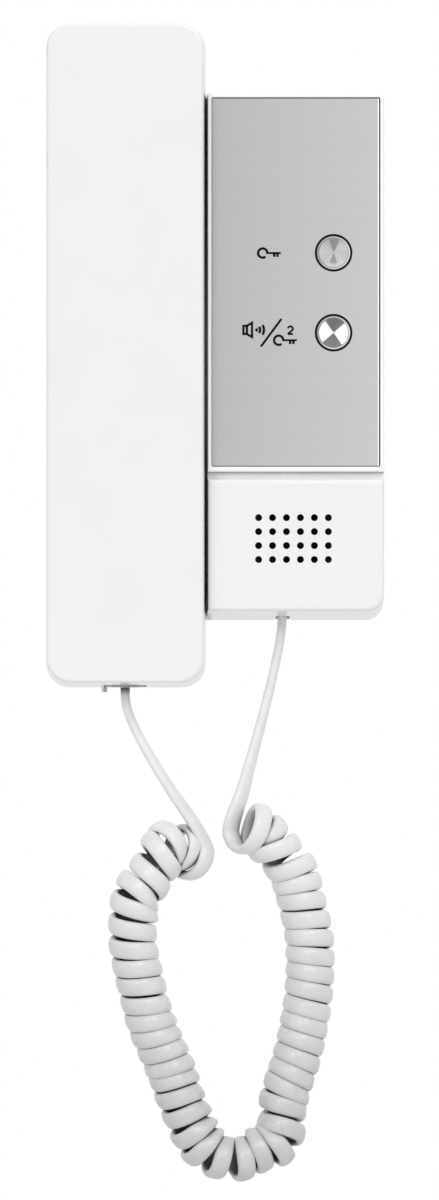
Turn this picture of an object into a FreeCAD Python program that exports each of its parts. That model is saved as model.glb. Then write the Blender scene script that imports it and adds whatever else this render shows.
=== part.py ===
import FreeCAD, Part
import math
import os

# A slim white wall unit: a lift-off handset, a column with two metal buttons and a speaker, and a curly cord.
# Millimetres. The wall is the plane Y = 0, the front faces -Y, +X is to the right and +Z is up.
# The origin is midway between the two wall screw holes, on the back of the rear cover.
# Most pieces are placed by how far they stand out from the wall, so "out" means -Y.
# A tool that only cuts runs 1 mm past the face that it opens.

V = FreeCAD.Vector

# How near two places must be to count as the same, and how far a boss is let into the wall that carries it
same_place = 0.01
root_overlap = 0.2

# Base outline
base_width = 92.4
base_height = 151.0
column_width = 50.6
cradle_out = 16.0
frame_seat_out = 22.5
column_out = 31.0
housing_wall = 2.2
skirt_lift = 0.5
side_corner = 1.5
bottom_corner = 5.0
edge_round = 1.2
lower_face_slope = 2.7

# The column from the bottom up
speaker_block_height = 40.5
groove_height = 2.0
groove_floor_out = 28.5

# Pillars for the board
housing_pillar_from_bottom = 9.5
frame_pillar_left_gap = 0.6
frame_pillar_right_gap = 0.2
frame_pillar_from_bottom = 7.0
frame_pillar_from_top = 8.5

# Rear cover and its wall fixings
cover_thickness = 2.2
cover_fit = 0.3
cover_rim_wall = 1.6
cover_rim_out = 6.0
wall_screw_spacing = 60.0
wall_screw_hole = 4.5
wall_screw_pad = 12.0
wall_screw_pad_height = 1.2
entry_width = 22.0
entry_height = 16.0
entry_corner = 3.0
catch_width = 10.0
catch_reach = 1.2
catch_fit = 0.3
catch_side_share = 0.25
catch_above_floor = 0.8
catch_below_rim = 0.6
cover_top_corner = 1.0
cover_screw_offset = 1.4
cover_screw_sunk = 1.0
cover_screw_head_gap = 0.3
cover_post_width = 8.0
cover_post_height = 9.0
cover_post_past_screw = 2.6
cover_tongue_fit = 0.3
cover_tongue_cord_gap = 0.5

# Button panel
panel_floor_out = 28.0
fascia_seat_out = 30.0
fascia_thickness = 0.8
fascia_fit = 0.1
fascia_rim = 1.2
fascia_rim_bottom = 1.6
fascia_corner = 0.4
panel_lip_depth = 2.0
panel_lip_wall = 1.2
panel_lip_fit = 0.1
panel_lip_root = 1.5

# Buttons, measured from the right and the top of the base
button_from_right = 14.5
upper_button_from_top = 45.7
button_spacing = 22.9
button_cap = 9.6
button_gap = 0.5
button_bevel = 0.55
button_dish = 0.15
button_front_out = 31.3
button_travel = 0.5
button_flange = 13.0
button_flange_thickness = 1.2
button_flange_clearance = 0.3
button_stem = 4.0
guide_wall = 1.2
guide_length = 3.0
guide_fit = 0.2

# Main board and what it carries
board_back_out = 16.0
board_thickness = 1.6
board_edge_gap = 0.8
board_corner = 2.0
switch_size = 6.0
switch_height = 3.5
switch_plunger = 3.5
switch_plunger_height = 1.3
switch_plunger_hidden = 0.6
switch_bore_spare = 0.2
running_fit = 0.1
terminal_ways = 6
terminal_pitch = 5.0
terminal_depth = 9.0
terminal_height = 10.0
terminal_screw = 3.0
terminal_screw_sunk = 1.2
terminal_well = 4.5
terminal_wire_hole = 2.6
terminal_screw_share = 0.6
capacitor_size = 6.3
capacitor_height = 7.0
capacitor_count = 3
capacitor_from_left = 9.0
capacitor_gap = 2.0
capacitor_round = 0.6
chip_width = 10.0
chip_length = 7.5
chip_height = 1.8
chip_from_left = 14.0
chip_stand = 0.2
chip_legs = 4
chip_leg_pitch = 2.4
chip_leg_width = 0.6
chip_leg_length = 1.2
chip_leg_thickness = 0.5

# Screws
pillar_size = 6.0
screw_size = 2.4
screw_head = 5.0
screw_head_height = 1.8
screw_bite = 7.0
screw_slot = 0.6
screw_slot_depth = 0.8
screw_slot_length = 3.0
screw_hole_fit = 0.25
thread_fit = 0.03

# Speaker and its grille
grille_columns = 6
grille_rows = 4
grille_pitch = 4.0
grille_hole = 2.0
grille_from_right = 26.0
grille_from_bottom = 23.4
ringer_size = 28.0
ringer_fit = 0.15
ringer_collar_wall = 1.25
ringer_collar_depth = 4.8
gasket_thickness = 1.0
gasket_width = 2.0
basket_thickness = 1.2
basket_depth = 5.3
ringer_magnet = 15.0
ringer_magnet_height = 3.9
cone_thickness = 0.4
basket_hole = 4.0
basket_neck_inside = 0.5
basket_neck_outside = 1.0
cone_depth_share = 0.55
cone_edge = 1.2
cone_dome = 7.0
cone_dome_height = 0.9
cone_slant = 0.1

# Handset
handset_width = 45.85
handset_length = 190.5
handset_overhang = 20.1
handset_gap = 0.55
handset_rest_gap = 0.3
handset_front_out = 43.0
handset_front_bow = 2.0
handset_corner = 6.9
handset_near_draft = 0.4
handset_side_draft = 0.7
handset_end_draft = 1.8
handset_wall = 2.0
handset_split_out = 29.0
handset_front_round = 1.0
grip_length = 90.0
grip_depth = 5.5
shell_lip_height = 1.5
shell_lip_wall = 1.0
shell_lip_fit = 0.1
shell_lip_root = 1.5
ear_cap = 30.0
ear_cap_height = 4.3
ear_cap_round = 0.8
ear_cap_from_top = 30.0
ear_pocket_gap = 0.8
ear_pocket_clearance = 1.0
ear_hole = 2.0
ear_hole_ring = 5.0
ear_hole_count = 6
receiver_size = 25.6
receiver_height = 6.0
receiver_magnet = 12.0
receiver_magnet_height = 3.0
receiver_face_sunk = 0.6
receiver_face_border = 2.5
receiver_flat_rim = 1.5
receiver_rim_depth = 2.5
receiver_back_border = 2.5
mouth_cap_width = 24.0
mouth_cap_height = 2.5
mouth_cap_corner = 4.0
mouth_cap_top_from_bottom = 29.4
mouth_cap_length = 18.5
mouth_recess_gap = 1.0
mouth_recess_clearance = 0.8
microphone_size = 9.7
microphone_height = 5.5
microphone_boot_wall = 1.3
microphone_boot_floor = 0.8
microphone_port_lip = 1.5
microphone_from_bottom = 20.6
sound_slot = 1.2
sound_slot_length = 8.0
sound_slot_pitch = 3.0
handset_screw_upper = 57.6
handset_screw_lower = 42.9
handset_screw_boss = 8.4
handset_screw_seat_out = 24.0
handset_screw_base = 2.0
handset_screw_well_gap = 0.4
cord_peg = 1.7
cord_peg_length = 1.3
cord_peg_offset = 6.0
cord_peg_root = 2.0

# Hook switch under the cradle
hook_pin = 2.0
hook_pin_fit = 0.05
hook_pin_overhang = 1.0
hook_pivot_out = 9.5
hook_pivot_from_ear = 31.6
hook_barrel = 5.2
hook_width = 8.0
hook_side_gap = 0.3
hook_lug_thickness = 2.5
hook_arm_thickness = 2.0
hook_arm_out = 3.2
hook_nose_reach = 20.5
hook_nose_width = 5.0
hook_nose_length = 5.0
hook_nose_gap = 0.3
hook_nose_round = 1.2
hook_nose_root = 0.5
hook_knee = 9.5
hook_knee_slant = 1.0
hook_arm_root_wide = 1.8
hook_arm_root_narrow = 1.2
hook_slot_gap = 0.9
hook_tail_reach = 10.0
hook_tail_width = 4.0
hook_tail_past_switch = 2.5
hook_tail_gap = 0.1
microswitch_length = 12.8
microswitch_width = 5.8
microswitch_height = 6.2
microswitch_plunger = 2.0
microswitch_plunger_height = 1.4
microswitch_plunger_hidden = 1.0
microswitch_fit = 0.15
microswitch_rib_short = 0.8
spring_wire = 0.6
spring_turns = 3
spring_pitch = 0.75
spring_side_gap = 0.1
spring_pin_gap = 0.15

# Plug and jack of the cord, the same at both ends
plug_width = 7.7
plug_height = 6.6
plug_length = 11.9
plug_latch_width = 3.2
plug_latch_height = 0.9
plug_latch_length = 9.0
plug_latch_from_tip = 1.0
plug_contacts = 4
plug_contact_pitch = 1.27
plug_slot_width = 0.6
plug_slot_length = 4.0
plug_slot_depth = 1.2
jack_wall = 1.65
jack_flat_wall = 1.45
jack_length = 13.0
jack_depth = 11.0
jack_fit = 0.1
handset_jack_from_left = 22.7
handset_jack_recess = 1.0
handset_jack_cut_gap = 0.5
handset_jack_cut_height_gap = 0.4
base_jack_from_right = 29.0
base_jack_from_bottom = 5.3
cord_notch_width = 4.8

# Cord
cord_size = 4.0
cord_sides = 6
coil_outer = 14.6
coil_pitch = 5.1
coil_gap = 0.8
coil_steps = 24
lead_end_run = 8.0
lead_drop = 7.5
coil_start_turn = 335.0
coil_end_steps = 0
lead_arc_share = 0.45

# Middle line of the curly part, from the handset's end to the base's: right, out, up
coil_line = [
    (-9.6, 17.6, -142.4),
    (-13.4, 20.8, -142.7),
    (-17.3, 22.8, -144.4),
    (-20.9, 23.6, -148.2),
    (-24.0, 23.6, -154.5),
    (-25.7, 22.8, -164.5),
    (-25.0, 21.4, -176.5),
    (-21.5, 20.0, -189.5),
    (-16.4, 18.6, -202.5),
    (-11.4, 17.4, -214.5),
    (-4.8, 16.2, -224.6),
    (4.0, 15.0, -229.4),
    (12.4, 13.8, -225.2),
    (17.4, 12.8, -215.0),
    (20.8, 12.0, -203.0),
    (23.6, 11.4, -190.5),
    (25.1, 11.0, -177.5),
    (24.6, 10.8, -165.0),
    (22.2, 10.8, -153.6),
    (18.6, 11.0, -144.0),
    (13.6, 12.0, -137.9),
    (8.6, 14.2, -135.4),
    (5.4, 16.4, -135.4),
]

# Where the curly part takes over from each lead, and the way the cord points there, away from the plug
handset_joint = (-10.2, 26.2, -130.2)
handset_joint_way = (0.56, -0.25, -0.8)
base_joint = (2.2, 12.6, -127.5)
base_joint_way = (-0.24, 0.05, -0.97)

# Route of the handset's lead between its plug and the curly part: right, out, up
handset_lead_line = [
    (-24.6, 24.8, -109.6),
    (-19.6, 26.9, -117.4),
]

# Route of the base's lead between its plug and the curly part: right, out, up
base_lead_line = [
    (14.5, 11.0, -91.5),
    (11.4, 11.2, -102.5),
    (7.4, 11.9, -113.5),
]

# Places worked out from the sizes above
base_left = -base_width / 2
base_right = base_width / 2
base_top = base_height / 2
base_bottom = -base_height / 2
column_left = base_right - column_width
block_top = base_bottom + speaker_block_height
frame_bottom = block_top + groove_height
button_x = base_right - button_from_right
upper_button_z = base_top - upper_button_from_top
lower_button_z = upper_button_z - button_spacing
grille_x = base_right - grille_from_right
grille_z = base_bottom + grille_from_bottom
board_front_out = board_back_out + board_thickness
handset_right = column_left - handset_gap
handset_left = handset_right - handset_width
handset_x = (handset_left + handset_right) / 2
handset_top = base_top + handset_overhang
handset_bottom = handset_top - handset_length
handset_back_out = cradle_out + handset_rest_gap
ear_z = handset_top - ear_cap_from_top
ear_face_out = handset_back_out - ear_cap_height
hook_pivot_height = ear_z - hook_pivot_from_ear
ear_pocket_floor = ear_face_out - ear_pocket_clearance
mouth_top = handset_bottom + mouth_cap_top_from_bottom
mouth_bottom = mouth_top - mouth_cap_length
mouth_face_out = handset_back_out - mouth_cap_height
mouth_recess_floor = mouth_face_out - mouth_recess_clearance
handset_jack_x = handset_left + handset_jack_from_left
base_jack_x = base_right - base_jack_from_right
jack_height = plug_height + 2 * jack_fit + 2 * jack_flat_wall
jack_width = plug_width + 2 * jack_fit + 2 * jack_wall
base_jack_out = board_back_out - jack_height / 2
handset_jack_out = handset_back_out + handset_wall + jack_height / 2
base_jack_mouth = base_bottom + base_jack_from_bottom
handset_jack_mouth = handset_bottom + handset_jack_recess


def slab(x0, x1, z0, z1, out0, out1):
    """A box between two distances out from the wall."""
    return Part.makeBox(x1 - x0, out1 - out0, z1 - z0, V(x0, -out1, z0))


def disc(x, z, size, out0, out1):
    """A round bar of the given diameter, along the way out from the wall."""
    return Part.makeCylinder(size / 2, out1 - out0, V(x, -out0, z), V(0, -1, 0))


def ring(x, z, outer, inner, out0, out1):
    """A round tube along the way out from the wall."""
    return disc(x, z, outer, out0, out1).cut(disc(x, z, inner, out0, out1))


def cross_bar(x0, x1, out, z, size):
    """A round bar from side to side."""
    return Part.makeCylinder(size / 2, x1 - x0, V(x0, -out, z), V(1, 0, 0))


def outline(x0, x1, z0, z1, out, radii):
    """A rectangle facing the front with rounded corners: bottom left, bottom right, top right, top left."""
    corners = [V(x0, -out, z0), V(x1, -out, z0), V(x1, -out, z1), V(x0, -out, z1)]
    edges = []
    ends = []
    for i, corner in enumerate(corners):
        before = (corners[i - 1] - corner).normalize()
        after = (corners[(i + 1) % 4] - corner).normalize()
        start = corner + before * radii[i]
        end = corner + after * radii[i]
        ends.append((start, end))
        if radii[i] > 0:
            middle = corner + (before + after) * (radii[i] * (1 - math.sqrt(0.5)))
            edges.append(Part.Arc(start, middle, end).toShape())
    for i in range(4):
        edges.append(Part.makeLine(ends[i - 1][1], ends[i][0]))
    return Part.Wire(Part.__sortEdges__(edges))


def plate(x0, x1, z0, z1, out0, out1, radii):
    """A flat piece with rounded corners, between two distances out from the wall."""
    if not isinstance(radii, tuple):
        radii = (radii,) * 4
    face = Part.Face(outline(x0, x1, z0, z1, out0, radii))
    return face.extrude(V(0, out0 - out1, 0))


def side_prism(points, x0, x1):
    """A prism from side to side, from a profile of points (out, up)."""
    corners = [V(x0, -out, z) for out, z in points]
    face = Part.Face(Part.makePolygon(corners + corners[:1]))
    return face.extrude(V(x1 - x0, 0, 0))


def join(shapes):
    """One solid from several that meet."""
    whole = shapes[0].fuse(shapes[1:])
    return whole.removeSplitter()


def cut_all(shape, tools):
    """The shape with every tool taken out of it."""
    return shape.cut(Part.makeCompound(tools))


def rounded(shape, radius, chosen):
    """The shape with the chosen edges rounded."""
    return shape.makeFillet(radius, [edge for edge in shape.Edges if chosen(edge)])


def on_front(out):
    """Tells the edges that lie wholly in the plane at this distance out."""
    def chosen(edge):
        box = edge.BoundBox
        return abs(box.YMin + out) < same_place and abs(box.YMax + out) < same_place
    return chosen


def screw(x, z, head_out, tip_out):
    """A round-headed screw that points out from the wall, with a cross slot."""
    seat_out = head_out + screw_head_height
    head = disc(x, z, screw_head, head_out, seat_out)
    shank = disc(x, z, screw_size - 2 * thread_fit, seat_out, tip_out)
    long = screw_slot_length / 2
    thin = screw_slot / 2
    slot = slab(x - long, x + long, z - thin, z + thin, head_out - 1, head_out + screw_slot_depth)
    cross = slab(x - thin, x + thin, z - long, z + long, head_out - 1, head_out + screw_slot_depth)
    return cut_all(head.fuse(shank), [slot, cross])


# Front housing

def column_profile():
    """The column seen from the side, as points (out, up): the underside slopes and the groove is let in."""
    return [
        (skirt_lift, base_bottom),
        (column_out, base_bottom + lower_face_slope),
        (column_out, block_top),
        (groove_floor_out, block_top),
        (groove_floor_out, frame_bottom - panel_lip_fit),
        (frame_seat_out, frame_bottom - panel_lip_fit),
        (frame_seat_out, base_top),
        (skirt_lift, base_top),
    ]


def column_hollow_profile():
    """The room inside the column, open at the back and where the button panel frame stands on it."""
    open_out = column_out + 5
    inner_bottom = base_bottom + housing_wall
    beam_back = frame_seat_out - housing_wall
    frame_opening = frame_bottom + housing_wall - panel_lip_fit
    return [
        (-1, inner_bottom),
        (cover_rim_out + cover_fit, inner_bottom),
        (column_out - housing_wall, inner_bottom + lower_face_slope),
        (column_out - housing_wall, block_top - housing_wall),
        (beam_back, block_top - housing_wall),
        (beam_back, frame_opening),
        (open_out, frame_opening),
        (open_out, base_top - housing_wall),
        (-1, base_top - housing_wall),
    ]


def along_y_at(x, z):
    """Tells the edges that run out from the wall at this corner."""
    def chosen(edge):
        box = edge.BoundBox
        at_x = abs(box.XMin - x) < same_place and abs(box.XMax - x) < same_place
        near_z = abs(box.Center.z - z) < lower_face_slope
        return at_x and near_z and box.YLength > housing_wall
    return chosen


def housing_outside():
    """The cradle plate with the column standing on its right."""
    corners = (bottom_corner, 0, 0, side_corner)
    cradle = plate(base_left, column_left + 1, base_bottom, base_top, skirt_lift, cradle_out, corners)
    cradle = rounded(cradle, edge_round, on_front(cradle_out))
    column = side_prism(column_profile(), column_left, base_right)
    column = rounded(column, bottom_corner, along_y_at(base_right, base_bottom))
    column = rounded(column, side_corner, along_y_at(base_right, base_top))
    column = rounded(column, edge_round, on_front(column_out))
    return cradle.fuse(column)


def ear_pocket_z():
    """The pocket's middle is above the ear cap's, so that the cap rests on the pocket's lower edge."""
    return ear_z + ear_pocket_gap - handset_rest_gap


def pocket_cuts():
    """The round pocket for the ear cap, and the mouth cap's recess, which runs out at the base's foot."""
    ear = disc(handset_x, ear_pocket_z(), ear_cap + 2 * ear_pocket_gap, ear_pocket_floor, cradle_out + 1)
    half = mouth_cap_width / 2 + mouth_recess_gap
    mouth = slab(handset_x - half, handset_x + half, mouth_bottom - mouth_recess_gap,
                 mouth_top + mouth_recess_gap, mouth_recess_floor, cradle_out + 1)
    return ear, mouth


def housing_hollow():
    """The room inside the housing, less the walls round the two pockets."""
    inner = housing_wall
    front = cradle_out - inner
    corners = (bottom_corner - inner, 0, 0, 0)
    cradle = plate(base_left + inner, column_left + inner, base_bottom + inner, base_top - inner, -1, front,
                   corners)
    column = side_prism(column_hollow_profile(), column_left + inner, base_right - inner)
    column = rounded(column, bottom_corner - inner, along_y_at(base_right - inner, base_bottom + inner))
    ear = disc(handset_x, ear_pocket_z(), ear_cap + 2 * (ear_pocket_gap + inner),
               ear_pocket_floor - inner, column_out)
    wall = mouth_recess_gap + inner
    half = mouth_cap_width / 2 + wall
    mouth = slab(handset_x - half, handset_x + half, mouth_bottom - wall, mouth_top + wall,
                 mouth_recess_floor - inner, column_out)
    return cut_all(cradle, [ear, mouth]).fuse(column)


def grille_holes():
    """The rows and columns of round holes in front of the speaker."""
    holes = []
    for column in range(grille_columns):
        for row in range(grille_rows):
            x = grille_x + (column - (grille_columns - 1) / 2) * grille_pitch
            z = grille_z + (row - (grille_rows - 1) / 2) * grille_pitch
            holes.append(disc(x, z, grille_hole, column_out - housing_wall - 1, column_out + 1))
    return holes


def housing_pillar_places():
    """The two pillars that carry the foot of the board."""
    z = base_bottom + housing_pillar_from_bottom
    return [(column_left + pillar_size, z), (base_right - pillar_size, z)]


def frame_pillar_places():
    """The four pillars of the button panel frame that carry the board."""
    x0 = column_left + pillar_size + frame_pillar_left_gap
    x1 = base_right - pillar_size - frame_pillar_right_gap
    low = frame_bottom + frame_pillar_from_bottom
    high = base_top - frame_pillar_from_top
    return [(x, z) for x in (x0, x1) for z in (low, high)]


def pillar(x, z, top_out):
    """A screw pillar from the board's face to the wall that carries it, with its pilot hole."""
    post = disc(x, z, pillar_size, board_front_out, top_out)
    return post.cut(disc(x, z, screw_size, board_front_out - 1, board_front_out + screw_bite + 1))


def hook_lugs():
    """Two lugs under the cradle that hold the hook lever's pin."""
    lugs = []
    inner = hook_width / 2 + hook_side_gap
    for side in (-1, 1):
        x0 = handset_x + min(side * inner, side * (inner + hook_lug_thickness))
        block = slab(x0, x0 + hook_lug_thickness, hook_pivot_height - hook_barrel / 2,
                     hook_pivot_height + hook_barrel / 2, hook_pivot_out, cradle_out - housing_wall / 2)
        end = cross_bar(x0, x0 + hook_lug_thickness, hook_pivot_out, hook_pivot_height, hook_barrel)
        lugs.append(block.fuse(end))
    return lugs


def microswitch_ribs():
    """Two ribs under the cradle that hold the microswitch between them."""
    inner = microswitch_width / 2 + microswitch_fit
    z = microswitch_z()
    half = microswitch_length / 2
    base = microswitch_base_out() + microswitch_rib_short
    ribs = []
    for side in (-1, 1):
        x0 = handset_x + min(side * inner, side * (inner + guide_wall))
        ribs.append(slab(x0, x0 + guide_wall, z - half, z + half, base, cradle_out - housing_wall / 2))
    return ribs


def hook_slot():
    """The slot in the pocket's floor that the lever's nose comes through."""
    half = hook_nose_width / 2 + hook_slot_gap
    z = hook_pivot_height + hook_nose_reach
    reach = hook_nose_length / 2 + hook_slot_gap
    return slab(handset_x - half, handset_x + half, z - reach, z + reach, ear_pocket_floor - housing_wall - 1,
                ear_pocket_floor + 1)


def cord_notch():
    """The notch in the underside, open at the back, that the base lead comes out of."""
    out = base_jack_out
    half = cord_notch_width / 2
    z0 = base_bottom - 1
    z1 = base_bottom + 2 * housing_wall + 1
    straight = slab(base_jack_x - half, base_jack_x + half, z0, z1, -1, out)
    end = upright_bar(base_jack_x, out, z0, z1, cord_notch_width)
    return straight.fuse(end)


def cover_screw_place():
    """The screw that holds the housing to the rear cover goes up through the cradle's lower edge."""
    return handset_x, (cover_rim_out + cover_thickness) / 2 + cover_screw_offset


def upright_bar(x, out, z0, z1, size):
    """A round bar that stands up."""
    return Part.makeCylinder(size / 2, z1 - z0, V(x, -out, z0), V(0, 0, 1))


def front_housing():
    """The white moulding of the base: cradle, column walls, groove, speaker block and the bosses inside."""
    shell = housing_outside().cut(housing_hollow())
    collar = ring(grille_x, grille_z, ringer_size + 2 * (ringer_fit + ringer_collar_wall),
                  ringer_size + 2 * ringer_fit, column_out - housing_wall - ringer_collar_depth,
                  column_out - housing_wall + root_overlap)
    pillars = [pillar(x, z, column_out - housing_wall + root_overlap) for x, z in housing_pillar_places()]
    shell = join([shell, collar] + pillars + hook_lugs() + microswitch_ribs())
    ear, mouth = pocket_cuts()
    screw_x, screw_out = cover_screw_place()
    screw_hole = upright_bar(screw_x, screw_out, base_bottom - 1, base_bottom + housing_wall + 1,
                             screw_size + 2 * screw_hole_fit)
    head_hole = upright_bar(screw_x, screw_out, base_bottom - 1, base_bottom + cover_screw_sunk,
                            screw_head + 2 * cover_screw_head_gap)
    catches = [catch_block(x, catch_fit) for x in catch_places()]
    pin_hole = hook_pin_bar(hook_pin + 2 * thread_fit, hook_side_gap)
    cuts = [ear, mouth, hook_slot(), cord_notch(), screw_hole, head_hole, pin_hole]
    return cut_all(shell, cuts + grille_holes() + catches)


# Rear cover

def catch_places():
    """Where the two catches at the rear cover's top edge are."""
    from_side = base_width * catch_side_share
    return [base_left + from_side, base_right - from_side]


def catch_block(x, gap):
    """A catch, or with a gap the pocket for it in the housing's top wall."""
    top = base_top - housing_wall + catch_reach - catch_fit + gap
    half = catch_width / 2 + gap
    return slab(x - half, x + half, base_top - housing_wall - cover_fit - 1, top,
                cover_thickness + catch_above_floor - gap, cover_rim_out - catch_below_rim + gap)


def rear_cover():
    """The wall plate: a shallow tray with screw holes, cable entry, catches and the cover screw's post."""
    edge = housing_wall + cover_fit
    x0 = base_left + edge
    x1 = base_right - edge
    z0 = base_bottom + edge
    z1 = base_top - edge
    corners = (bottom_corner - edge, bottom_corner - edge, cover_top_corner, cover_top_corner)
    tray = plate(x0, x1, z0, z1, 0, cover_rim_out, corners)
    rim = cover_rim_wall
    inner_corners = (bottom_corner - edge - rim, bottom_corner - edge - rim, 0, 0)
    tray = tray.cut(plate(x0 + rim, x1 - rim, z0 + rim, z1 - rim, cover_thickness, cover_rim_out + 1,
                          inner_corners))
    pads = []
    holes = []
    for side in (-1, 1):
        z = side * wall_screw_spacing / 2
        pads.append(disc(0, z, wall_screw_pad, cover_thickness / 2, cover_thickness + wall_screw_pad_height))
        holes.append(disc(0, z, wall_screw_hole, -1, cover_rim_out))
    screw_x, screw_out = cover_screw_place()
    half_post = cover_post_width / 2
    post = slab(screw_x - half_post, screw_x + half_post, z0, z0 + cover_post_height, cover_thickness / 2,
                screw_out + cover_post_past_screw)
    pilot = upright_bar(screw_x, screw_out, z0 - 1, z0 + screw_bite + 1, screw_size)
    half_tongue = cord_notch_width / 2 - cover_tongue_fit
    tongue = slab(base_jack_x - half_tongue, base_jack_x + half_tongue, base_bottom + cover_tongue_fit,
                  plug_end(base_jack_mouth) - cover_fit, 0,
                  base_jack_out - cord_size / 2 - cover_tongue_cord_gap)
    catches = [catch_block(x, 0) for x in catch_places()]
    tray = join([tray, post, tongue] + pads + catches)
    entry = plate(-entry_width / 2, entry_width / 2, -entry_height / 2, entry_height / 2, -1, cover_rim_out,
                  entry_corner)
    return cut_all(tray, holes + [entry, pilot])


def cover_screw():
    """The screw that holds the housing to the rear cover, from below."""
    x, out = cover_screw_place()
    z = base_bottom + cover_screw_sunk - screw_head_height
    head = upright_bar(x, out, z, z + screw_head_height, screw_head)
    shank = upright_bar(x, out, z + screw_head_height, z + screw_head_height + screw_bite,
                        screw_size - 2 * thread_fit)
    long = screw_slot_length / 2
    thin = screw_slot / 2
    slot = slab(x - long, x + long, z - 1, z + screw_slot_depth, out - thin, out + thin)
    cross = slab(x - thin, x + thin, z - 1, z + screw_slot_depth, out - long, out + long)
    return cut_all(head.fuse(shank), [slot, cross])


# Button panel

def button_places():
    """The two buttons, upper then lower."""
    return [(button_x, upper_button_z), (button_x, lower_button_z)]


def fascia_box(gap):
    """The fascia's left, right, bottom and top, grown by a gap."""
    return (column_left + fascia_rim - gap, base_right - fascia_rim + gap,
            frame_bottom + fascia_rim_bottom - gap, base_top - fascia_rim + gap)


def button_panel_frame():
    """The white frame that holds the fascia, guides the buttons and carries the board on four pillars."""
    corners = (0, 0, side_corner, 0)
    body = plate(column_left, base_right, frame_bottom, base_top, frame_seat_out, column_out, corners)
    body = rounded(body, edge_round / 2, on_front(column_out))
    wall = housing_wall
    inner = plate(column_left + wall, base_right - wall, frame_bottom + wall, base_top - wall,
                  frame_seat_out - 1, panel_floor_out, 0)
    lip_out = frame_seat_out - panel_lip_depth
    fit = wall + panel_lip_fit
    outer_lip = plate(column_left + fit, base_right - fit, frame_bottom + wall, base_top - fit, lip_out,
                      frame_seat_out, 0)
    root = plate(column_left + wall / 2, base_right - wall / 2, frame_bottom + wall / 2, base_top - wall / 2,
                 frame_seat_out, frame_seat_out + panel_lip_root, 0)
    thin = fit + panel_lip_wall
    lip_room = plate(column_left + thin, base_right - thin, frame_bottom + thin, base_top - thin, lip_out - 1,
                     frame_seat_out + 2, 0)
    body = body.cut(inner)
    guides = []
    for x, z in button_places():
        size = button_flange + 2 * guide_fit
        guides.append(ring(x, z, size + 2 * guide_wall, size, panel_floor_out - guide_length,
                           panel_floor_out + root_overlap))
    pillars = [pillar(x, z, panel_floor_out + root_overlap) for x, z in frame_pillar_places()]
    body = join([body, outer_lip.fuse(root).cut(lip_room)] + guides + pillars)
    x0, x1, z0, z1 = fascia_box(fascia_fit)
    cuts = [plate(x0, x1, z0, z1, fascia_seat_out, column_out + 1, fascia_corner + fascia_fit)]
    for x, z in button_places():
        cuts.append(disc(x, z, button_cap + 4 * button_gap, panel_floor_out - 1, column_out))
    return cut_all(body, cuts)


def metal_fascia():
    """The brushed metal panel let into the frame, with a hole for each button."""
    x0, x1, z0, z1 = fascia_box(0)
    sheet = plate(x0, x1, z0, z1, fascia_seat_out, fascia_seat_out + fascia_thickness, fascia_corner)
    hole = button_cap + 2 * button_gap
    holes = [disc(x, z, hole, fascia_seat_out - 1, column_out + 1) for x, z in button_places()]
    return cut_all(sheet, holes)


def flange_front():
    """How far out the button's flange reaches at rest: just short of the frame's floor."""
    return panel_floor_out - button_flange_clearance


def button_cap_piece(x, z):
    """A round metal cap with a bevelled edge and a slightly hollow face."""
    size = button_cap
    back = flange_front()
    body = disc(x, z, size, back, button_front_out - button_bevel)
    bevel = Part.makeCone(size / 2, size / 2 - button_bevel, button_bevel,
                          V(x, -(button_front_out - button_bevel), z), V(0, -1, 0))
    half = size / 2 - button_bevel
    reach = (half ** 2 + button_dish ** 2) / (2 * button_dish)
    ball = Part.makeSphere(reach, V(x, -(button_front_out - button_dish + reach), z))
    return body.fuse(bevel).cut(ball)


def button_stem_piece(x, z):
    """The plastic stem behind a cap: a flange that keeps the cap in, and a rod down to the switch."""
    front = flange_front()
    back = front - button_flange_thickness
    flange = disc(x, z, button_flange, back, front)
    rod = disc(x, z, button_stem, switch_tip_out(), back)
    return flange.fuse(rod)


def switch_tip_out():
    """Where the tip of a switch's plunger is at rest."""
    return board_front_out + switch_height + switch_plunger_height


def switch_plunger_piece(x, z):
    """The little round plunger of one switch."""
    inner_out = board_front_out + switch_height - switch_plunger_hidden
    return disc(x, z, switch_plunger, inner_out, switch_tip_out())


def switch_bodies():
    """The two square switch bodies on the board, each with a bore for its plunger."""
    bodies = []
    top = board_front_out + switch_height
    half = switch_size / 2
    for x, z in button_places():
        body = slab(x - half, x + half, z - half, z + half, board_front_out, top)
        depth = switch_plunger_hidden + button_travel + switch_bore_spare
        bore = disc(x, z, switch_plunger + 2 * running_fit, top - depth, top + 1)
        bodies.append(body.cut(bore))
    return Part.makeCompound(bodies)


# Main board

def main_board():
    """The circuit board, screwed to the pillars of the frame and of the housing."""
    gap = housing_wall + board_edge_gap
    board = plate(column_left + gap, base_right - gap, base_bottom + gap + lower_face_slope, base_top - gap,
                  board_back_out, board_front_out, board_corner)
    places = frame_pillar_places() + housing_pillar_places()
    hole = screw_size + 2 * screw_hole_fit
    return cut_all(board, [disc(x, z, hole, board_back_out - 1, board_front_out + 1) for x, z in places])


def board_screws():
    """The six screws of the board."""
    screws = []
    for x, z in frame_pillar_places() + housing_pillar_places():
        screws.append(screw(x, z, board_back_out - screw_head_height, board_front_out + screw_bite))
    return Part.makeCompound(screws)


def terminal_places():
    """The middle of each way of the terminal block."""
    x0 = (column_left + base_right) / 2 - (terminal_ways - 1) * terminal_pitch / 2
    return [x0 + i * terminal_pitch for i in range(terminal_ways)]


def terminal_screw_z():
    """The height of the clamp screws, above the wire holes' mouths."""
    return entry_height / 2 + terminal_height * terminal_screw_share


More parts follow.
